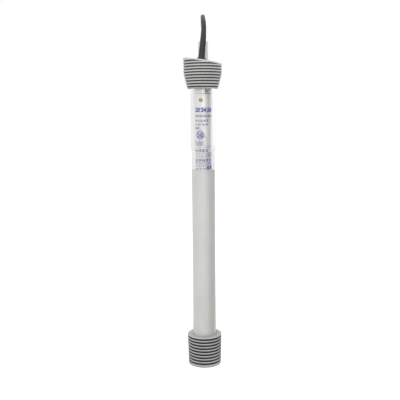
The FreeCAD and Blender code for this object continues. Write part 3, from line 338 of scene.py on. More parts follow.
def metal_finish(name, tone, tarnish, along, rough, stain=0.5):
    """Drawn or stamped metal: fine lines one way, and a duller film in patches."""
    material, tree, shader = finish(name)
    film = ranged(tree, noise(tree, 240.0, 5.0), 0.42, 0.66)
    feed(tree, shader, {
        "Base Color": blended(tree, product(tree, film, stain), linear(*tone), linear(*tarnish)),
        "Metallic": 1.0,
        "Roughness": ranged(tree, film, 0, 1, *rough),
        "Normal": bumped(tree, noise(tree, 1.0, 3.0, along), 0.2, 0.00003)})
    return material


ACROSS_LINES, UPRIGHT_LINES = (9000.0, 400.0, 9000.0), (9000.0, 9000.0, 300.0)
dress(["plug_blades"], metal_finish(
    "plug brass", (222, 196, 132), (150, 122, 76), ACROSS_LINES, rough=(0.22, 0.42)))

# The hank is held by a black strap of soft moulded plastic, wrapped once about the strands and
# laid over its own end.
STRAP_THICKNESS, STRAP_WIDTH, STRAP_GAP = 1.0, 6.0, 0.35
STRAP_EDGE, STRAP_TIP = 0.3, 0.82
STRAP_LEFT, STRAP_RIGHT = FIRST_STRAND, FIRST_STRAND + LOOPS * STRAND_PITCH
STRAP_ROUND = CORD_RADIUS / MM + STRAP_GAP + STRAP_THICKNESS / 2
STRAP_START = (-3.0, -5.0, -7.0)
STRAP_OVERLAP = [(8.0, 11.32), (4.0, 11.35), (1.0, 11.6), (-1.2, 12.1), (-2.8, 12.45),
                 (-4.6, 12.4), (-6.2, 12.35)]


def strap_corner(x, z, start, steps=6):
    """A quarter of the strap's bend about one outer strand."""
    turns = [math.radians(start + 90 * k / steps) for k in range(steps + 1)]
    return [(x + STRAP_ROUND * math.cos(t), z + STRAP_ROUND * math.sin(t)) for t in turns]


strap_line = [(x, HIGH_WAIST + STRAP_ROUND) for x in STRAP_START]
for x, z, start in ((STRAP_LEFT, HIGH_WAIST, 90), (STRAP_LEFT, LOW_WAIST, 180),
                    (STRAP_RIGHT, LOW_WAIST, 270), (STRAP_RIGHT, HIGH_WAIST, 0)):
    strap_line += strap_corner(x, z, start)
strap_line += STRAP_OVERLAP
face = STRAP_THICKNESS / 2
made = bmesh.new()
loops = []
for k, (x, z) in enumerate(strap_line):
    before = Vector(strap_line[max(k - 1, 0)])
    after = Vector(strap_line[min(k + 1, len(strap_line) - 1)])
    way = (after - before).normalized()
    out = Vector((way.y, -way.x)) if way.length else Vector((0, 1))
    side = STRAP_WIDTH / 2 * (STRAP_TIP if k == len(strap_line) - 1 else 1.0)
    inset = side - STRAP_EDGE
    section = ((-side, -STRAP_EDGE), (-side, STRAP_EDGE), (-inset, face), (inset, face),
               (side, STRAP_EDGE), (side, -STRAP_EDGE), (inset, -face), (-inset, -face))
    loops.append([made.verts.new(Vector((x + out.x * rise, WAIST + across, z + out.y * rise)) * MM)
                  for across, rise in section])
skin(made, loops)
strap = add_piece(
    "hank_strap", smooth_mesh(made, sharp=50), "heater", ["cord_tie"])
strap.data.materials.append(moulded_finish(
    "strap plastic", (40, 40, 41), (52, 52, 53), (110, 110, 110), (100, 98, 94),
    grains=900.0, depth=0.00012, rough=(0.35, 0.5)))

# The boot is a black rubber moulding pressed over the cord, with a round foot that seals on the
# lid. Its long tail thins out along the cord and bends with it.
BOOT_FOOT = Vector((-1.2, -6.5, 313.02))
BOOT_LEAN, FOOT_LEAN = math.radians(6.0), math.radians(9.0)
BOOT_BORE, BOOT_AROUND = 2.18, 48
# Heights above the lid, of the cord's first point and of the foot's and tail's rings, whose radii
# come after them.
CORD_START = 10.82
FOOT_RINGS = [(0.0, 4.0), (0.2, 4.2), (2.05, 4.2), (2.25, 4.0)]
TAIL_RINGS = [(2.5, 3.45), (3.2, 3.24), (7.0, 3.14), (11.0, 3.07), (15.0, 3.0), (18.2, 2.94),
              (21.5, 2.78), (25.5, 2.63), (29.5, 2.5), (33.5, 2.39), (37.5, 2.3), (40.6, 2.25),
              (41.0, 2.21)]

bare_line = cord_line.copy()
bare_line.bevel_depth = 0
holder = bpy.data.objects.new("bare_line", bare_line)
shape = bpy.data.meshes.new_from_object(holder)
route = [vertex.co / MM for vertex in shape.vertices]
bpy.data.objects.remove(holder)
bpy.data.curves.remove(bare_line)
bpy.data.meshes.remove(shape)


def leaning(angle):
    """The way up, leaning by this towards +X."""
    return Vector((math.sin(angle), 0, math.cos(angle)))


def on_boot_line(height):
    """The boot's middle line at a height: straight at first, then along the cord."""
    if height <= CORD_START:
        return BOOT_FOOT + leaning(BOOT_LEAN) * height, leaning(BOOT_LEAN)
    left = height - CORD_START
    for here, there in zip(route, route[1:]):
        step = there - here
        if left <= step.length:
            return here + step.normalized() * left, step.normalized()
        left -= step.length


def boot_ring(made, middle, way, radius):
    """A ring of corners square to the boot's line."""
    side = (Vector((1, 0, 0)) - way * way.x).normalized()
    front = way.cross(side)
    turns = [math.tau * k / BOOT_AROUND for k in range(BOOT_AROUND)]
    spokes = [side * math.cos(turn) + front * math.sin(turn) for turn in turns]
    return [made.verts.new((middle + spoke * radius) * MM) for spoke in spokes]


made = bmesh.new()
foot_way = leaning(FOOT_LEAN)
loops = [boot_ring(made, BOOT_FOOT + foot_way * height, foot_way, radius)
         for height, radius in FOOT_RINGS]
loops += [boot_ring(made, *on_boot_line(height), radius) for height, radius in TAIL_RINGS]
loops += [boot_ring(made, *on_boot_line(height), BOOT_BORE) for height, _ in TAIL_RINGS[::-1]]
loops.append(boot_ring(made, BOOT_FOOT, foot_way, BOOT_BORE))
skin(made, loops, closed=True)
boot = add_piece(
    "boot_moulding", smooth_mesh(made, sharp=35), "heater", ["cord_boot"])
boot.data.materials.append(black_moulding)
dress(["cord_inner_end"], black_moulding)
dress(["cord_crimp_ring"], metal_finish(
    "crimped brass", (206, 180, 118), (140, 116, 70), UPRIGHT_LINES, rough=(0.3, 0.5)))

# The tube is drawn borosilicate glass, closed and rounded at the foot and cut square at the
# mouth, where the flame has softened its lip. Its bore grips the liner, so no air shows between.
GLASS_RADIUS, GLASS_BORE = 12.0, 10.8
GLASS_FOOT, GLASS_MOUTH = 3.1, 301.0
GLASS_BEND = 6.0
GLASS_STATIONS, CLEAR_STATIONS = range(20, 300, 20), range(280, 210, -20)
LINER_TOP, LINER_HOLD, LINER_STATIONS = 204.2, 10.45, range(180, 0, -40)
AROUND = 144


def turned_skin(made, outline, around=AROUND, middle=(0.0, 0.0)):
    """A skin turned about an upright axis. An outline that doesn't touch it closes on itself."""
    rows = []
    for radius, height in outline:
        turns = [math.tau * k / around for k in range(around if radius > 1e-6 else 1)]
        rows.append([made.verts.new(Vector((
            middle[0] + radius * math.cos(turn), middle[1] + radius * math.sin(turn),
            height)) * MM) for turn in turns])
    if len(rows[0]) > 1:
        rows.append(rows[0])
    for here, there in zip(rows, rows[1:]):
        for k in range(around):
            corners = []
            for corner in (here[k % len(here)], here[(k + 1) % len(here)],
                           there[(k + 1) % len(there)], there[k % len(there)]):
                if corner not in corners:
                    corners.append(corner)
            made.faces.new(corners)


def quarter(middle, radius, start, end, steps=10):
    """Corners along part of a round edge, from one angle to another."""
    turns = [math.radians(start + (end - start) * k / steps) for k in range(steps + 1)]
    return [(middle[0] + radius * math.cos(turn), middle[1] + radius * math.sin(turn))
            for turn in turns]


bend_middle = (GLASS_RADIUS - GLASS_BEND, GLASS_FOOT + GLASS_BEND)
wall = GLASS_RADIUS - GLASS_BORE
lip = (GLASS_RADIUS + GLASS_BORE) / 2
made = bmesh.new()
turned_skin(made, [
    (0.0, GLASS_FOOT), *quarter(bend_middle, GLASS_BEND, -90, 0),
    *[(GLASS_RADIUS, z) for z in GLASS_STATIONS],
    *quarter((lip, GLASS_MOUTH - wall / 2), wall / 2, 0, 180, steps=8),
    *[(GLASS_BORE, z) for z in CLEAR_STATIONS], (GLASS_BORE, LINER_TOP),
    *[(LINER_HOLD, z) for z in (LINER_TOP, *LINER_STATIONS)],
    *quarter(bend_middle, GLASS_BEND - wall, 0, -90), (0.0, GLASS_FOOT + wall)])
tube = add_piece("tube_glass", smooth_mesh(made), "heater", ["glass_tube"])

clear_glass, tree, shader = finish("clear glass")
smears = noise(tree, 1.0, 5.0, (90.0, 90.0, 28.0))
draw_lines = noise(tree, 1.0, 2.0, (700.0, 700.0, 6.0))
feed(tree, shader, {
    "Base Color": blended(tree, ranged(tree, smears, 0.4, 0.7),
                          (0.97, 0.972, 0.968, 1), (0.94, 0.942, 0.938, 1)),
    "Roughness": ranged(tree, smears, 0.5, 0.8, 0.0, 0.09),
    "IOR": 1.47, "Transmission Weight": 1.0, "Metallic": 0.0,
    "Normal": bumped(tree, draw_lines, 0.06, 0.00002)})
lets_light_by = put(tree, "ShaderNodeMixShader", {
    0: put(tree, "ShaderNodeLightPath", {}).outputs["Is Shadow Ray"], 1: shader.outputs[0],
    2: put(tree, "ShaderNodeBsdfTransparent", {"Color": (0.93, 0.94, 0.94, 1)}).outputs[0]})
feed(tree, tree.nodes["Material Output"], {"Surface": lets_light_by.outputs[0]})
tube.data.materials.append(clear_glass)

# The print on the glass is blue-violet ceramic ink, screened on and fired. Here it is a plain
# scale: a level line at the top, then rows of numbers, ticks and a round mark.
INK_LIFT, INK_BODY, INK_STEP = 0.012, 0.012, 0.5
PRINT_LEFT, PRINT_RIGHT = -8.1, 9.2
LEVEL_LINE = 280.5
DIGIT_SHARE = 0.7
# Each row is its numbers, its middle's height, its own height, its two ends and its boldness.
NUMBER_ROWS = [
    ("20 24 28", 264.7, 4.0, PRINT_LEFT, PRINT_RIGHT, 0.05),
    ("18 20 22 24 26 28 30", 258.6, 2.1, PRINT_LEFT, PRINT_RIGHT, 0.035),
    ("19 21 23 25 27", 253.9, 1.9, PRINT_LEFT, 5.6, 0.035),
    ("10 20  30 40", 250.2, 1.6, PRINT_LEFT, 5.2, 0.03),
    ("25", 246.6, 1.8, PRINT_LEFT, -4.0, 0.035),
    ("50", 239.9, 3.6, -5.4, -0.9, 0.03),
    ("5  0 4", 228.9, 1.3, 2.4, 8.2, 0.0),
    ("16 18 20 22", 224.5, 2.5, PRINT_LEFT, 5.0, 0.025),
    ("0 5 10 15 20", 221.3, 1.1, PRINT_LEFT, 2.4, 0.0),
    ("35 40 45 50", 218.7, 1.1, PRINT_LEFT, 2.4, 0.0),
    ("22 24 26 28 30", 214.9, 2.9, PRINT_LEFT, 8.6, 0.025),
    ("0 2 4 6 8 10", 211.7, 1.2, PRINT_LEFT, 2.4, 0.01),
    ("1 2 3 4 5 6", 209.1, 1.4, PRINT_LEFT, 2.8, 0.015),
    ("30 32 34", 206.3, 1.4, PRINT_LEFT, 2.8, 0.015),
    ("60 80", 207.6, 3.6, 3.6, PRINT_RIGHT, 0.05)]
# Each bar is its left and right ends, then its lower and upper edges.
INK_BARS = [(-7.2, 8.4, LEVEL_LINE - 0.1, LEVEL_LINE + 0.1),
            (1.6, 7.0, LEVEL_LINE - 0.3, LEVEL_LINE + 0.3),
            (PRINT_LEFT, PRINT_RIGHT, 227.4, 227.55), (2.6, 3.3, 237.2, 237.9)]
UPRIGHTS, UPRIGHT_LEFT, UPRIGHT_PITCH, UPRIGHT_WIDTH = 7, -7.8, 1.25, 0.4
UPRIGHT_FOOT, UPRIGHT_TOP, UPRIGHT_DROP = 229.0, 234.4, 0.7
TICK_FIELDS, TICK_LEFT, TICK_SHIFT = ((217.9, 8), (210.4, 4)), 3.4, 0.8
TICK_PITCH, TICK = 0.62, 0.2
for k in range(UPRIGHTS):
    x = UPRIGHT_LEFT + UPRIGHT_PITCH * k
    INK_BARS.append((x, x + UPRIGHT_WIDTH, UPRIGHT_FOOT, UPRIGHT_TOP - UPRIGHT_DROP * (k % 3)))
for z, ticks in TICK_FIELDS:
    INK_BARS += [(TICK_LEFT + TICK_SHIFT * (k % 2), PRINT_RIGHT,
                  z + TICK_PITCH * k, z + TICK_PITCH * k + TICK) for k in range(ticks)]
MARK_MIDDLE, MARK_RINGS, MARK_AROUND = (-3.1, 239.9), ((4.1, 3.6), (3.2, 2.9)), 48


def flat_bar(made, left, right, low, high):
    """A thin bar of ink, still flat."""
    corners = [made.verts.new((x, y, rise)) for rise in (0.0, INK_BODY)
               for x, y in ((left, low), (right, low), (right, high), (left, high))]
    for face in ((0, 1, 2, 3), (4, 5, 6, 7), (0, 1, 5, 4), (1, 2, 6, 5), (2, 3, 7, 6),
                 (3, 0, 4, 7)):
        made.faces.new([corners[k] for k in face])


ink = bmesh.new()
for figures, middle, height, left, right, bold in NUMBER_ROWS:
    line = bpy.data.curves.new("numbers", "FONT")
    line.body = figures
    line.size = height / DIGIT_SHARE
    line.extrude = INK_BODY / 2
    line.offset = bold * height
    line.resolution_u = 3
    holder = bpy.data.objects.new("numbers", line)
    bpy.context.scene.collection.objects.link(holder)
    bpy.context.view_layer.update()
    set_out = holder.evaluated_get(bpy.context.evaluated_depsgraph_get())
    shape = bpy.data.meshes.new_from_object(set_out)
    ends = [min(v.co.x for v in shape.vertices), max(v.co.x for v in shape.vertices)]
    stretch = (right - left) / (ends[1] - ends[0])
    for vertex in shape.vertices:
        vertex.co = ((vertex.co.x - ends[0]) * stretch + left,
                     vertex.co.y + middle - height / 2, vertex.co.z + INK_BODY / 2)
    ink.from_mesh(shape)
    bpy.data.objects.remove(holder)
    bpy.data.meshes.remove(shape)
for bar in INK_BARS:
    flat_bar(ink, *bar)
for outer, inner in MARK_RINGS:
    turns = [math.tau * k / MARK_AROUND for k in range(MARK_AROUND)]
    skin(ink, [[ink.verts.new((MARK_MIDDLE[0] + radius * math.cos(turn),
                               MARK_MIDDLE[1] + radius * math.sin(turn), rise)) for turn in turns]
               for radius, rise in ((outer, 0), (outer, INK_BODY), (inner, INK_BODY), (inner, 0))],
         closed=True)
# The flat ink is cut into narrow strips, so that it can bend round the glass.
bmesh.ops.remove_doubles(ink, verts=ink.verts, dist=1e-4)
for k in range(int((PRINT_RIGHT - PRINT_LEFT) / INK_STEP) + 2):
    bmesh.ops.bisect_plane(ink, geom=ink.verts[:] + ink.edges[:] + ink.faces[:], dist=1e-5,
                           plane_co=(PRINT_LEFT + k * INK_STEP, 0, 0), plane_no=(1, 0, 0))
bmesh.ops.remove_doubles(ink, verts=ink.verts, dist=1e-3)
for vertex in ink.verts:
    round_by = vertex.co.x / GLASS_RADIUS
    out = GLASS_RADIUS + INK_LIFT + vertex.co.z
    vertex.co = Vector((out * math.sin(round_by), -out * math.cos(round_by), vertex.co.y)) * MM
numbers = add_piece("printed_scale", smooth_mesh(ink, sharp=30), "heater")
violet_ink, tree, shader = finish("violet ink")
screen = noise(tree, 900.0, 4.0)
feed(tree, shader, {
    "Base Color": blended(
        tree, ranged(tree, screen, 0.4, 0.62), linear(36, 38, 134), linear(52, 54, 150)),
    "Roughness": ranged(tree, screen, 0.4, 0.6, 0.35, 0.6)})
numbers.data.materials.append(violet_ink)

# The foot bumper is a soft grey rubber cup, moulded with nine grooves and pushed on to the tube.
# A dark rubber ring lies in each groove.
BUMPER_HEIGHT, BUMPER_FLOOR, SEAT = 31.5, 3.0, 12.1
BUMPER_FOOT_RADIUS, BUMPER_TOP_RADIUS = 17.0, 17.9
BUMPER_GROOVES, BUMPER_PITCH, BUMPER_GROOVE, BUMPER_HIGHEST = 9, 3.28, 2.0, 30.0
BUMPER_RECESS = 0.4
GROOVE_DEPTH, LIP = 2.2, 0.28
RING_CLEARANCE, RING_EASE = 0.02, (0.12, 0.2)
# The two middle points of a rounded corner, as shares of its near end, corner and far end.
ROUNDING = ((0.3, 0.45, 0.25), (0.25, 0.45, 0.3))


def eased(corners, bend, most=0.4):
    """An outline with its corners rounded by the bend, or by at most this share of an edge."""
    out = []
    for k, here in enumerate(corners):
        a, b, c = Vector(corners[k - 1]), Vector(here), Vector(corners[(k + 1) % len(corners)])
        if (a - b).length < 1e-6 or (c - b).length < 1e-6 or b.x < 1e-6:
            out.append(tuple(b))
            continue
        near = b + (a - b).normalized() * min(bend, (a - b).length * most)
        far = b + (c - b).normalized() * min(bend, (c - b).length * most)
        middles = [tuple(near * p + b * q + far * r) for p, q, r in ROUNDING]
        out += [tuple(near), *middles, tuple(far)]
    return out


def grooved(face, middles, height, depth):
    """The stepped wall that grooves leave in a face, from the lowest groove up."""
    steps = []
    for middle in middles:
        low, high = middle - height / 2, middle + height / 2
        steps += [(face(low), low), (face(low) - depth, low),
                  (face(high) - depth, high), (face(high), high)]
    return steps


def ring_section(face, middle, height, recess):
    """The outline of a dark ring that fills a groove's root, its outer edges eased."""
    low = middle - height / 2 + RING_CLEARANCE
    high = middle + height / 2 - RING_CLEARANCE
    root = GROOVE_DEPTH - RING_CLEARANCE
    back, along = RING_EASE
    rise = along + RING_CLEARANCE
    return [(face(low) - root, low), (face(low) - recess - back, low),
            (face(low + along) - recess, low + rise), (face(high - along) - recess, high - rise),
            (face(high) - recess - back, high), (face(high) - root, high)]


def bumper_face(z):
    """The bumper's radius at a height."""
    return BUMPER_FOOT_RADIUS + (BUMPER_TOP_RADIUS - BUMPER_FOOT_RADIUS) * z / BUMPER_HEIGHT


bumper_middles = [BUMPER_HIGHEST - BUMPER_PITCH * k for k in range(BUMPER_GROOVES)][::-1]
made = bmesh.new()
turned_skin(made, eased(
    [(0.0, 0.0), (BUMPER_FOOT_RADIUS, 0.0),
     *grooved(bumper_face, bumper_middles, BUMPER_GROOVE, GROOVE_DEPTH),
     (BUMPER_TOP_RADIUS, BUMPER_HEIGHT), (SEAT, BUMPER_HEIGHT),
     (SEAT, BUMPER_FLOOR), (0.0, BUMPER_FLOOR)], LIP))
bumper = add_piece("foot_bumper", smooth_mesh(made), "heater", ["base_bumper"])
# The same grey rubber as the cap's, coloured darker here as painted shade at the foot.
bumper.data.materials.append(moulded_finish(
    "grey rubber with painted foot shade", (152, 152, 151), (162, 162, 161), (182, 182, 182), (138, 136, 132),
    grains=1300.0, depth=0.00014, rough=(0.55, 0.75)))
made = bmesh.new()
for middle in bumper_middles:
    turned_skin(made, ring_section(bumper_face, middle, BUMPER_GROOVE, BUMPER_RECESS))
bumper_rings = add_piece(
    "bumper_dark_rings", smooth_mesh(made), "heater", ["base_rings"])
# Black rubber, coloured darker than the cap's rings as painted shade in the bumper's grooves. The
# seals inside share it.
black_rubber_with_foot_shade = moulded_finish(
    "black rubber with painted foot shade", (30, 30, 31), (40, 40, 41), (60, 60, 61), (56, 55, 52),
    grains=1400.0, depth=0.00010, rough=(0.5, 0.7), shine=0.2)
bumper_rings.data.materials.append(black_rubber_with_foot_shade)

# The head cap is the same grey rubber, moulded wider than the tube and tapering down to it, with
# ten ringed grooves. Its top is cut off at a slant, which the lid follows.
CAP_FOOT, CAP_RADIUS, CAP_BEFORE_CUT = 285.5, 19.3, 318.0
CAP_GROOVES, CAP_PITCH, CAP_GROOVE, CAP_LOWEST = 10, 2.78, 1.4, 287.2
CAP_RECESS, CAP_PLAIN = 0.7, 286.48
CAP_CORNERS = [(15.0, CAP_FOOT), (15.9, CAP_FOOT + 1.1), (CAP_RADIUS, CAP_FOOT + 14.8),
               (CAP_RADIUS, 330.0)]
CAP_CUT, CAP_SLOPE = 311.55, math.radians(9.0)
CHAMBER = 14.1


def cap_face(z):
    """The cap's radius at a height."""
    for (low_radius, low), (high_radius, high) in zip(CAP_CORNERS, CAP_CORNERS[1:]):
        if z <= high:
            return low_radius + (high_radius - low_radius) * (z - low) / (high - low)


def cut_at_slant(made):
    """Cut a skin off at the slant under the lid and close it there."""
    cut = bmesh.ops.bisect_plane(
        made, geom=made.verts[:] + made.edges[:] + made.faces[:], dist=1e-7, clear_outer=True,
        plane_co=(0, 0, CAP_CUT * MM), plane_no=(math.sin(CAP_SLOPE), 0, math.cos(CAP_SLOPE)))
    edges = [part for part in cut["geom_cut"] if isinstance(part, bmesh.types.BMEdge)]
    if edges:
        bmesh.ops.triangle_fill(made, use_beauty=True, edges=edges)


cap_middles = [CAP_LOWEST + CAP_PITCH * k for k in range(CAP_GROOVES)]
made = bmesh.new()
turned_skin(made, eased(
    [(SEAT, CAP_FOOT), CAP_CORNERS[0], (cap_face(CAP_PLAIN), CAP_PLAIN),
     *grooved(cap_face, cap_middles, CAP_GROOVE, GROOVE_DEPTH),
     (CAP_RADIUS, CAP_BEFORE_CUT), (CHAMBER, CAP_BEFORE_CUT),
     (CHAMBER, GLASS_MOUTH), (SEAT, GLASS_MOUTH)], LIP))
cut_at_slant(made)
cap = add_piece("head_cap", smooth_mesh(made), "heater", ["top_cap"])
cap.data.materials.append(moulded_finish(
    "grey cap rubber", (165, 165, 164), (175, 175, 174), (193, 193, 193), (150, 148, 144),
    grains=1300.0, depth=0.00014, rough=(0.55, 0.75)))
made = bmesh.new()
for middle in cap_middles:
    ring = bmesh.new()
    turned_skin(ring, ring_section(cap_face, middle, CAP_GROOVE, CAP_RECESS))
    cut_at_slant(ring)
    shape = bpy.data.meshes.new("ring")
    ring.to_mesh(shape)
    ring.free()
    made.from_mesh(shape)
    bpy.data.meshes.remove(shape)
cap_rings = add_piece("cap_dark_rings", smooth_mesh(made), "heater", ["cap_rings"])
cap_ring_rubber = moulded_finish(
    "cap ring rubber", (54, 54, 54), (64, 64, 64), (80, 80, 80), (78, 77, 74),
    grains=1400.0, depth=0.00010, rough=(0.5, 0.7), shine=0.2)
cap_ring_shader = cap_ring_rubber.node_tree.nodes["Principled BSDF"]
cap_ring_shader.inputs["Sheen Weight"].default_value = 0.6
cap_ring_shader.inputs["Sheen Roughness"].default_value = 0.3
cap_rings.data.materials.append(cap_ring_rubber)

# The lid is a pale grey plastic disc, snapped over the slanted cap, with a round boss under the
# knob and a hole for the cord's boot.
dress(["cap_lid"], moulded_finish(
    "pale lid plastic", (178, 178, 178), (188, 188, 188), (206, 206, 206), (180, 177, 172),
    grains=1800.0, depth=0.00006, rough=(0.35, 0.5)))

# Under the lid a dark hard insert guides shaft and cord. Black rubber seals the shaft and stops
# the tube's mouth, and a rubber cushion lies at the bottom of the glass.
dress(["head_insert"], moulded_finish(
    "dark insert plastic", (70, 70, 73), (84, 84, 87), (112, 112, 114), (120, 117, 110),
    grains=1500.0, depth=0.00008, rough=(0.4, 0.55)))
dress(["shaft_seal_ring", "seal_stopper", "end_cushion"], black_rubber_with_foot_shade)

# The temperature knob is light grey plastic with fine ribs for the fingers. It is pressed on a
# steel shaft, whose screw moves a plastic nut inside the glass.
dress(["temperature_knob"], moulded_finish(
    "knob plastic", (199, 199, 199), (206, 206, 206), (220, 220, 220), (176, 173, 168),
    grains=2000.0, depth=0.00005, rough=(0.32, 0.48)))
dress(["adjuster_shaft", "support_rod", "rod_nut"], metal_finish(
    "zinc plated steel", (196, 198, 200), (140, 142, 146), UPRIGHT_LINES, rough=(0.25, 0.45)))

# The liner sleeve is a thin light grey sheet with a satin coat, rolled up and slid into the glass
# to hide and guard the heating part.
liner, tree, shader = finish("grey liner sheet")
grain = put(tree, "ShaderNodeGroup", {}, node_tree=moulded_grain)
feed(tree, grain, {"Grains per metre": 2600.0, "Clouds per metre": 22.0})
rolled = noise(tree, 1.0, 3.0, (1400.0, 1400.0, 30.0))
tone = blended(tree, grain.outputs["Cloud"], linear(214, 214, 211), linear(220, 220, 217))
tone = blended(tree, ranged(tree, rolled, 0.45, 0.8, 0.0, 0.35), tone, linear(230, 230, 227))
feed(tree, shader, {
    "Base Color": tone,
    "Metallic": 0.3,
    "Roughness": ranged(tree, rolled, 0.3, 0.7, 0.36, 0.46),
    "Normal": bumped(tree, rolled, 0.12, 0.00003)})
dress(["heat_sleeve"], liner)

# Inside the sleeve a ceramic core on a steel rod carries the coil of resistance wire, between two
# ceramic discs, with copper leads up to the thermostat.
dress(["ceramic_core", "upper_core_disc", "lower_core_disc"], moulded_finish(
    "unglazed ceramic", (208, 202, 188), (222, 217, 204), (232, 228, 218), (184, 176, 160),
    grains=1100.0, depth=0.00012, rough=(0.7, 0.85)))
dress(["heating_coil"], metal_finish(
    "resistance wire", (150, 142, 134), (96, 84, 74), UPRIGHT_LINES, rough=(0.35, 0.6), stain=0.8))
dress(["coil_leads"], metal_finish(
    "bare copper", (214, 140, 100), (140, 82, 56), UPRIGHT_LINES, rough=(0.25, 0.45)))

# The thermostat sits on a white half-round plastic carrier: a bimetal strip on a riveted bracket,
# with silver contacts, a contact leaf, a small magnet and an eyelet that holds the supply
# terminal. The nut on the shaft and the leads' jackets are white plastic too.
dress(["adjuster_nut", "supply_leads"], moulded_finish(
    "plain white plastic", (232, 231, 228), (238, 237, 234), (244, 244, 242), (214, 210, 202),
    grains=1700.0, depth=0.00005, rough=(0.35, 0.5)))
dress(["thermostat_carrier"], moulded_finish(
    "satin white plastic", (223, 221, 218), (229, 227, 224), (240, 239, 237), (208, 204, 196),
    grains=1700.0, depth=0.00005, rough=(0.35, 0.45), gleam=0.42))
dress(["anchor_bracket", "anchor_rivets", "contact_leaf", "supply_terminal"], metal_finish(
    "stamped brass", (206, 182, 122), (138, 116, 72), UPRIGHT_LINES, rough=(0.28, 0.48)))
dress(["carrier_eyelet"], metal_finish(
    "olive plated eyelet", (138, 138, 124), (98, 98, 86), UPRIGHT_LINES, rough=(0.35, 0.55)))
dress(["moving_contact", "fixed_contact"], metal_finish(
    "contact silver", (222, 221, 216), (150, 146, 138), UPRIGHT_LINES, rough=(0.2, 0.4)))
dress(["snap_magnet"], metal_finish(
    "sintered magnet", (110, 112, 116), (76, 78, 82), UPRIGHT_LINES, rough=(0.4, 0.6)))
STRIP_LAYERS_MEET, STRIP_SEAM = 3.85, 0.01
bimetal, tree, shader = finish("bimetal strip")
spot = put(tree, "ShaderNodeTexCoord", {}).outputs["Object"]
depth = put(tree, "ShaderNodeSeparateXYZ", {"Vector": spot}).outputs["Y"]
layer = ranged(tree, depth, (STRIP_LAYERS_MEET - STRIP_SEAM) * MM,
               (STRIP_LAYERS_MEET + STRIP_SEAM) * MM)
film = noise(tree, 320.0, 4.0)
tone = blended(tree, layer, linear(196, 190, 180), linear(206, 184, 140))
feed(tree, shader, {
    "Base Color": blended(
        tree, ranged(tree, film, 0.45, 0.7, 0.0, 0.5), tone, linear(150, 138, 120)),
    "Metallic": 1.0, "Roughness": ranged(tree, film, 0.3, 0.7, 0.25, 0.45)})
dress(["bimetal_strip"], bimetal)

# The pilot lamp is a small neon bulb of brownish glass, with two wire posts inside it.
# Painted light: the glass is coloured near white, paler than its brownish tint, to lift it out of
# the shade under the cap.
lamp_glass_painted_pale, tree, shader = finish("brownish lamp glass painted pale")
soot = noise(tree, 400.0, 4.0)
feed(tree, shader, {
    "Base Color": blended(
        tree, ranged(tree, soot, 0.4, 0.65), linear(238, 228, 218), linear(222, 211, 200)),
    "Roughness": ranged(tree, soot, 0.4, 0.7, 0.05, 0.2),
    "IOR": 1.47, "Transmission Weight": 0.35})
dress(["pilot_lamp"], lamp_glass_painted_pale)
LAMP_MIDDLE, POST_SIDE, POST_AROUND = (4.6, -4.0), 0.65, 24
# The post's radii and heights, thick below and thin above.
POST_OUTLINE = [(0.0, 283.6), (0.24, 283.7), (0.3, 284.0), (0.3, 289.0), (0.15, 289.4),
                (0.15, 292.6), (0.0, 292.6)]
made = bmesh.new()
for side in (-POST_SIDE, POST_SIDE):
    turned_skin(made, POST_OUTLINE, POST_AROUND, (LAMP_MIDDLE[0] + side, LAMP_MIDDLE[1]))
posts = add_piece("lamp_posts", smooth_mesh(made, sharp=30), "heater")
posts.data.materials.append(metal_finish(
    "nickel lamp posts", (190, 174, 162), (150, 134, 122), UPRIGHT_LINES, rough=(0.35, 0.55)))

# The stage is a white table in a white room, lit from overhead and in front. In the glass both
# look darker than to the camera, and darkest to one side, which gives the tube its long shade.
# Matt rubber doesn't see that dark side, as in the photograph.
TABLE_HALF = 4.0
table_mesh = bpy.data.meshes.new("table")
table_mesh.from_pydata(
    [(x * TABLE_HALF, y * TABLE_HALF, 0) for x, y in ((-1, -1), (1, -1), (1, 1), (-1, 1))],
    [], [(0, 1, 2, 3)])
table_top = bpy.data.objects.new("table", table_mesh)
bpy.context.scene.collection.objects.link(table_top)


def part_of_room(tree, way, toward, near, full, change):
    """A factor that changes smoothly round one direction from the heater."""
    side = put(tree, "ShaderNodeVectorMath", {0: way, 1: toward}, operation="DOT_PRODUCT")
    return put(tree, "ShaderNodeMapRange", {
        "Value": side.outputs["Value"], "From Min": near, "From Max": full,
        "To Min": 1.0, "To Max": change}, interpolation_type="SMOOTHSTEP").outputs["Result"]


def flat_way(degrees):
    """The level direction at this turn from the camera's side towards +X."""
    return (math.sin(math.radians(degrees)), -math.cos(math.radians(degrees)), 0.0)


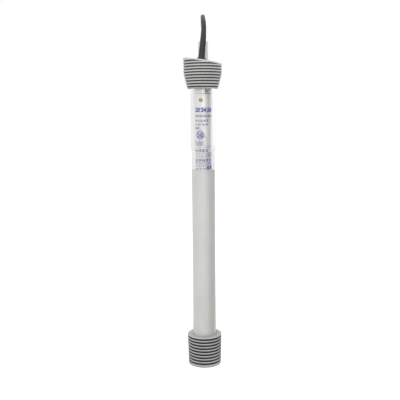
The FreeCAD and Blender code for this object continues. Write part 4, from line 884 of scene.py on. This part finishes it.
white_table, tree, shader = finish("white table")
spot = put(tree, "ShaderNodeTexCoord", {}).outputs["Object"]
paper = noise(tree, 300.0, 3.0)
way = put(tree, "ShaderNodeVectorMath", {0: spot}, operation="NORMALIZE").outputs["Vector"]
seen = put(tree, "ShaderNodeLightPath", {}).outputs["Is Camera Ray"]
by_matt = put(tree, "ShaderNodeLightPath", {}).outputs["Is Diffuse Ray"]
dark_side = ranged(tree, by_matt, 0, 1, 0.5, 1.2)
feed(tree, shader, {
    "Base Color": blended(tree, seen, blended(
        tree, part_of_room(tree, way, flat_way(80), 0.6, 0.97, dark_side),
        (0, 0, 0, 1), (0.58, 0.58, 0.58, 1)),
        blended(tree, paper, (0.94, 0.94, 0.94, 1), (0.96, 0.96, 0.96, 1))),
    "Roughness": 0.8,
    "Emission Color": blended(tree, seen, (0, 0, 0, 1), (1, 1, 1, 1)), "Emission Strength": 0.2})
table_mesh.materials.append(white_table)

room = bpy.data.worlds.new("white room")
room.use_nodes = True
tree = room.node_tree
way = put(tree, "ShaderNodeTexCoord", {}).outputs["Generated"]
by_matt = put(tree, "ShaderNodeLightPath", {}).outputs["Is Diffuse Ray"]
dark_side = ranged(tree, by_matt, 0, 1, 0.36, 1.0)
# Each part of the room is a direction, where its change starts and is full, and the change.
ROOM_LIGHT = 1.17
room_parts = [(flat_way(78), 0.72, 0.97, dark_side), (flat_way(-150), 0.75, 0.95, 0.8),
              (flat_way(180), 0.9, 0.985, 0.8), (flat_way(-35), 0.1, 0.9, 1.25),
              ((0.0, 0.0, 1.0), 0.35, 0.9, 1.4)]
light = ROOM_LIGHT
for part in room_parts:
    light = product(tree, light, part_of_room(tree, way, *part))
seen = put(tree, "ShaderNodeLightPath", {}).outputs["Is Camera Ray"]
strength = put(tree, "ShaderNodeMix", {}, data_type="FLOAT")
feed(tree, strength, {0: seen, 2: light, 3: 1.0})
feed(tree, tree.nodes["Background"], {"Color": (1, 1, 1, 1), "Strength": strength.outputs[0]})
bpy.context.scene.world = room
bpy.context.scene.view_settings.view_transform = "Standard"

LAMP_PLACE, LAMP_AIM = Vector((0.15, -1.1, 0.6)), Vector((0, 0, 0.15))
front_lamp = bpy.data.lights.new("front_lamp", "AREA")
front_lamp.shape = "SQUARE"
front_lamp.size = 0.8
front_lamp.energy = 1.2
lamp_box = bpy.data.objects.new("front_lamp", front_lamp)
bpy.context.scene.collection.objects.link(lamp_box)
lamp_box.location = LAMP_PLACE
lamp_box.rotation_euler = (LAMP_AIM - LAMP_PLACE).to_track_quat("-Z", "Y").to_euler()
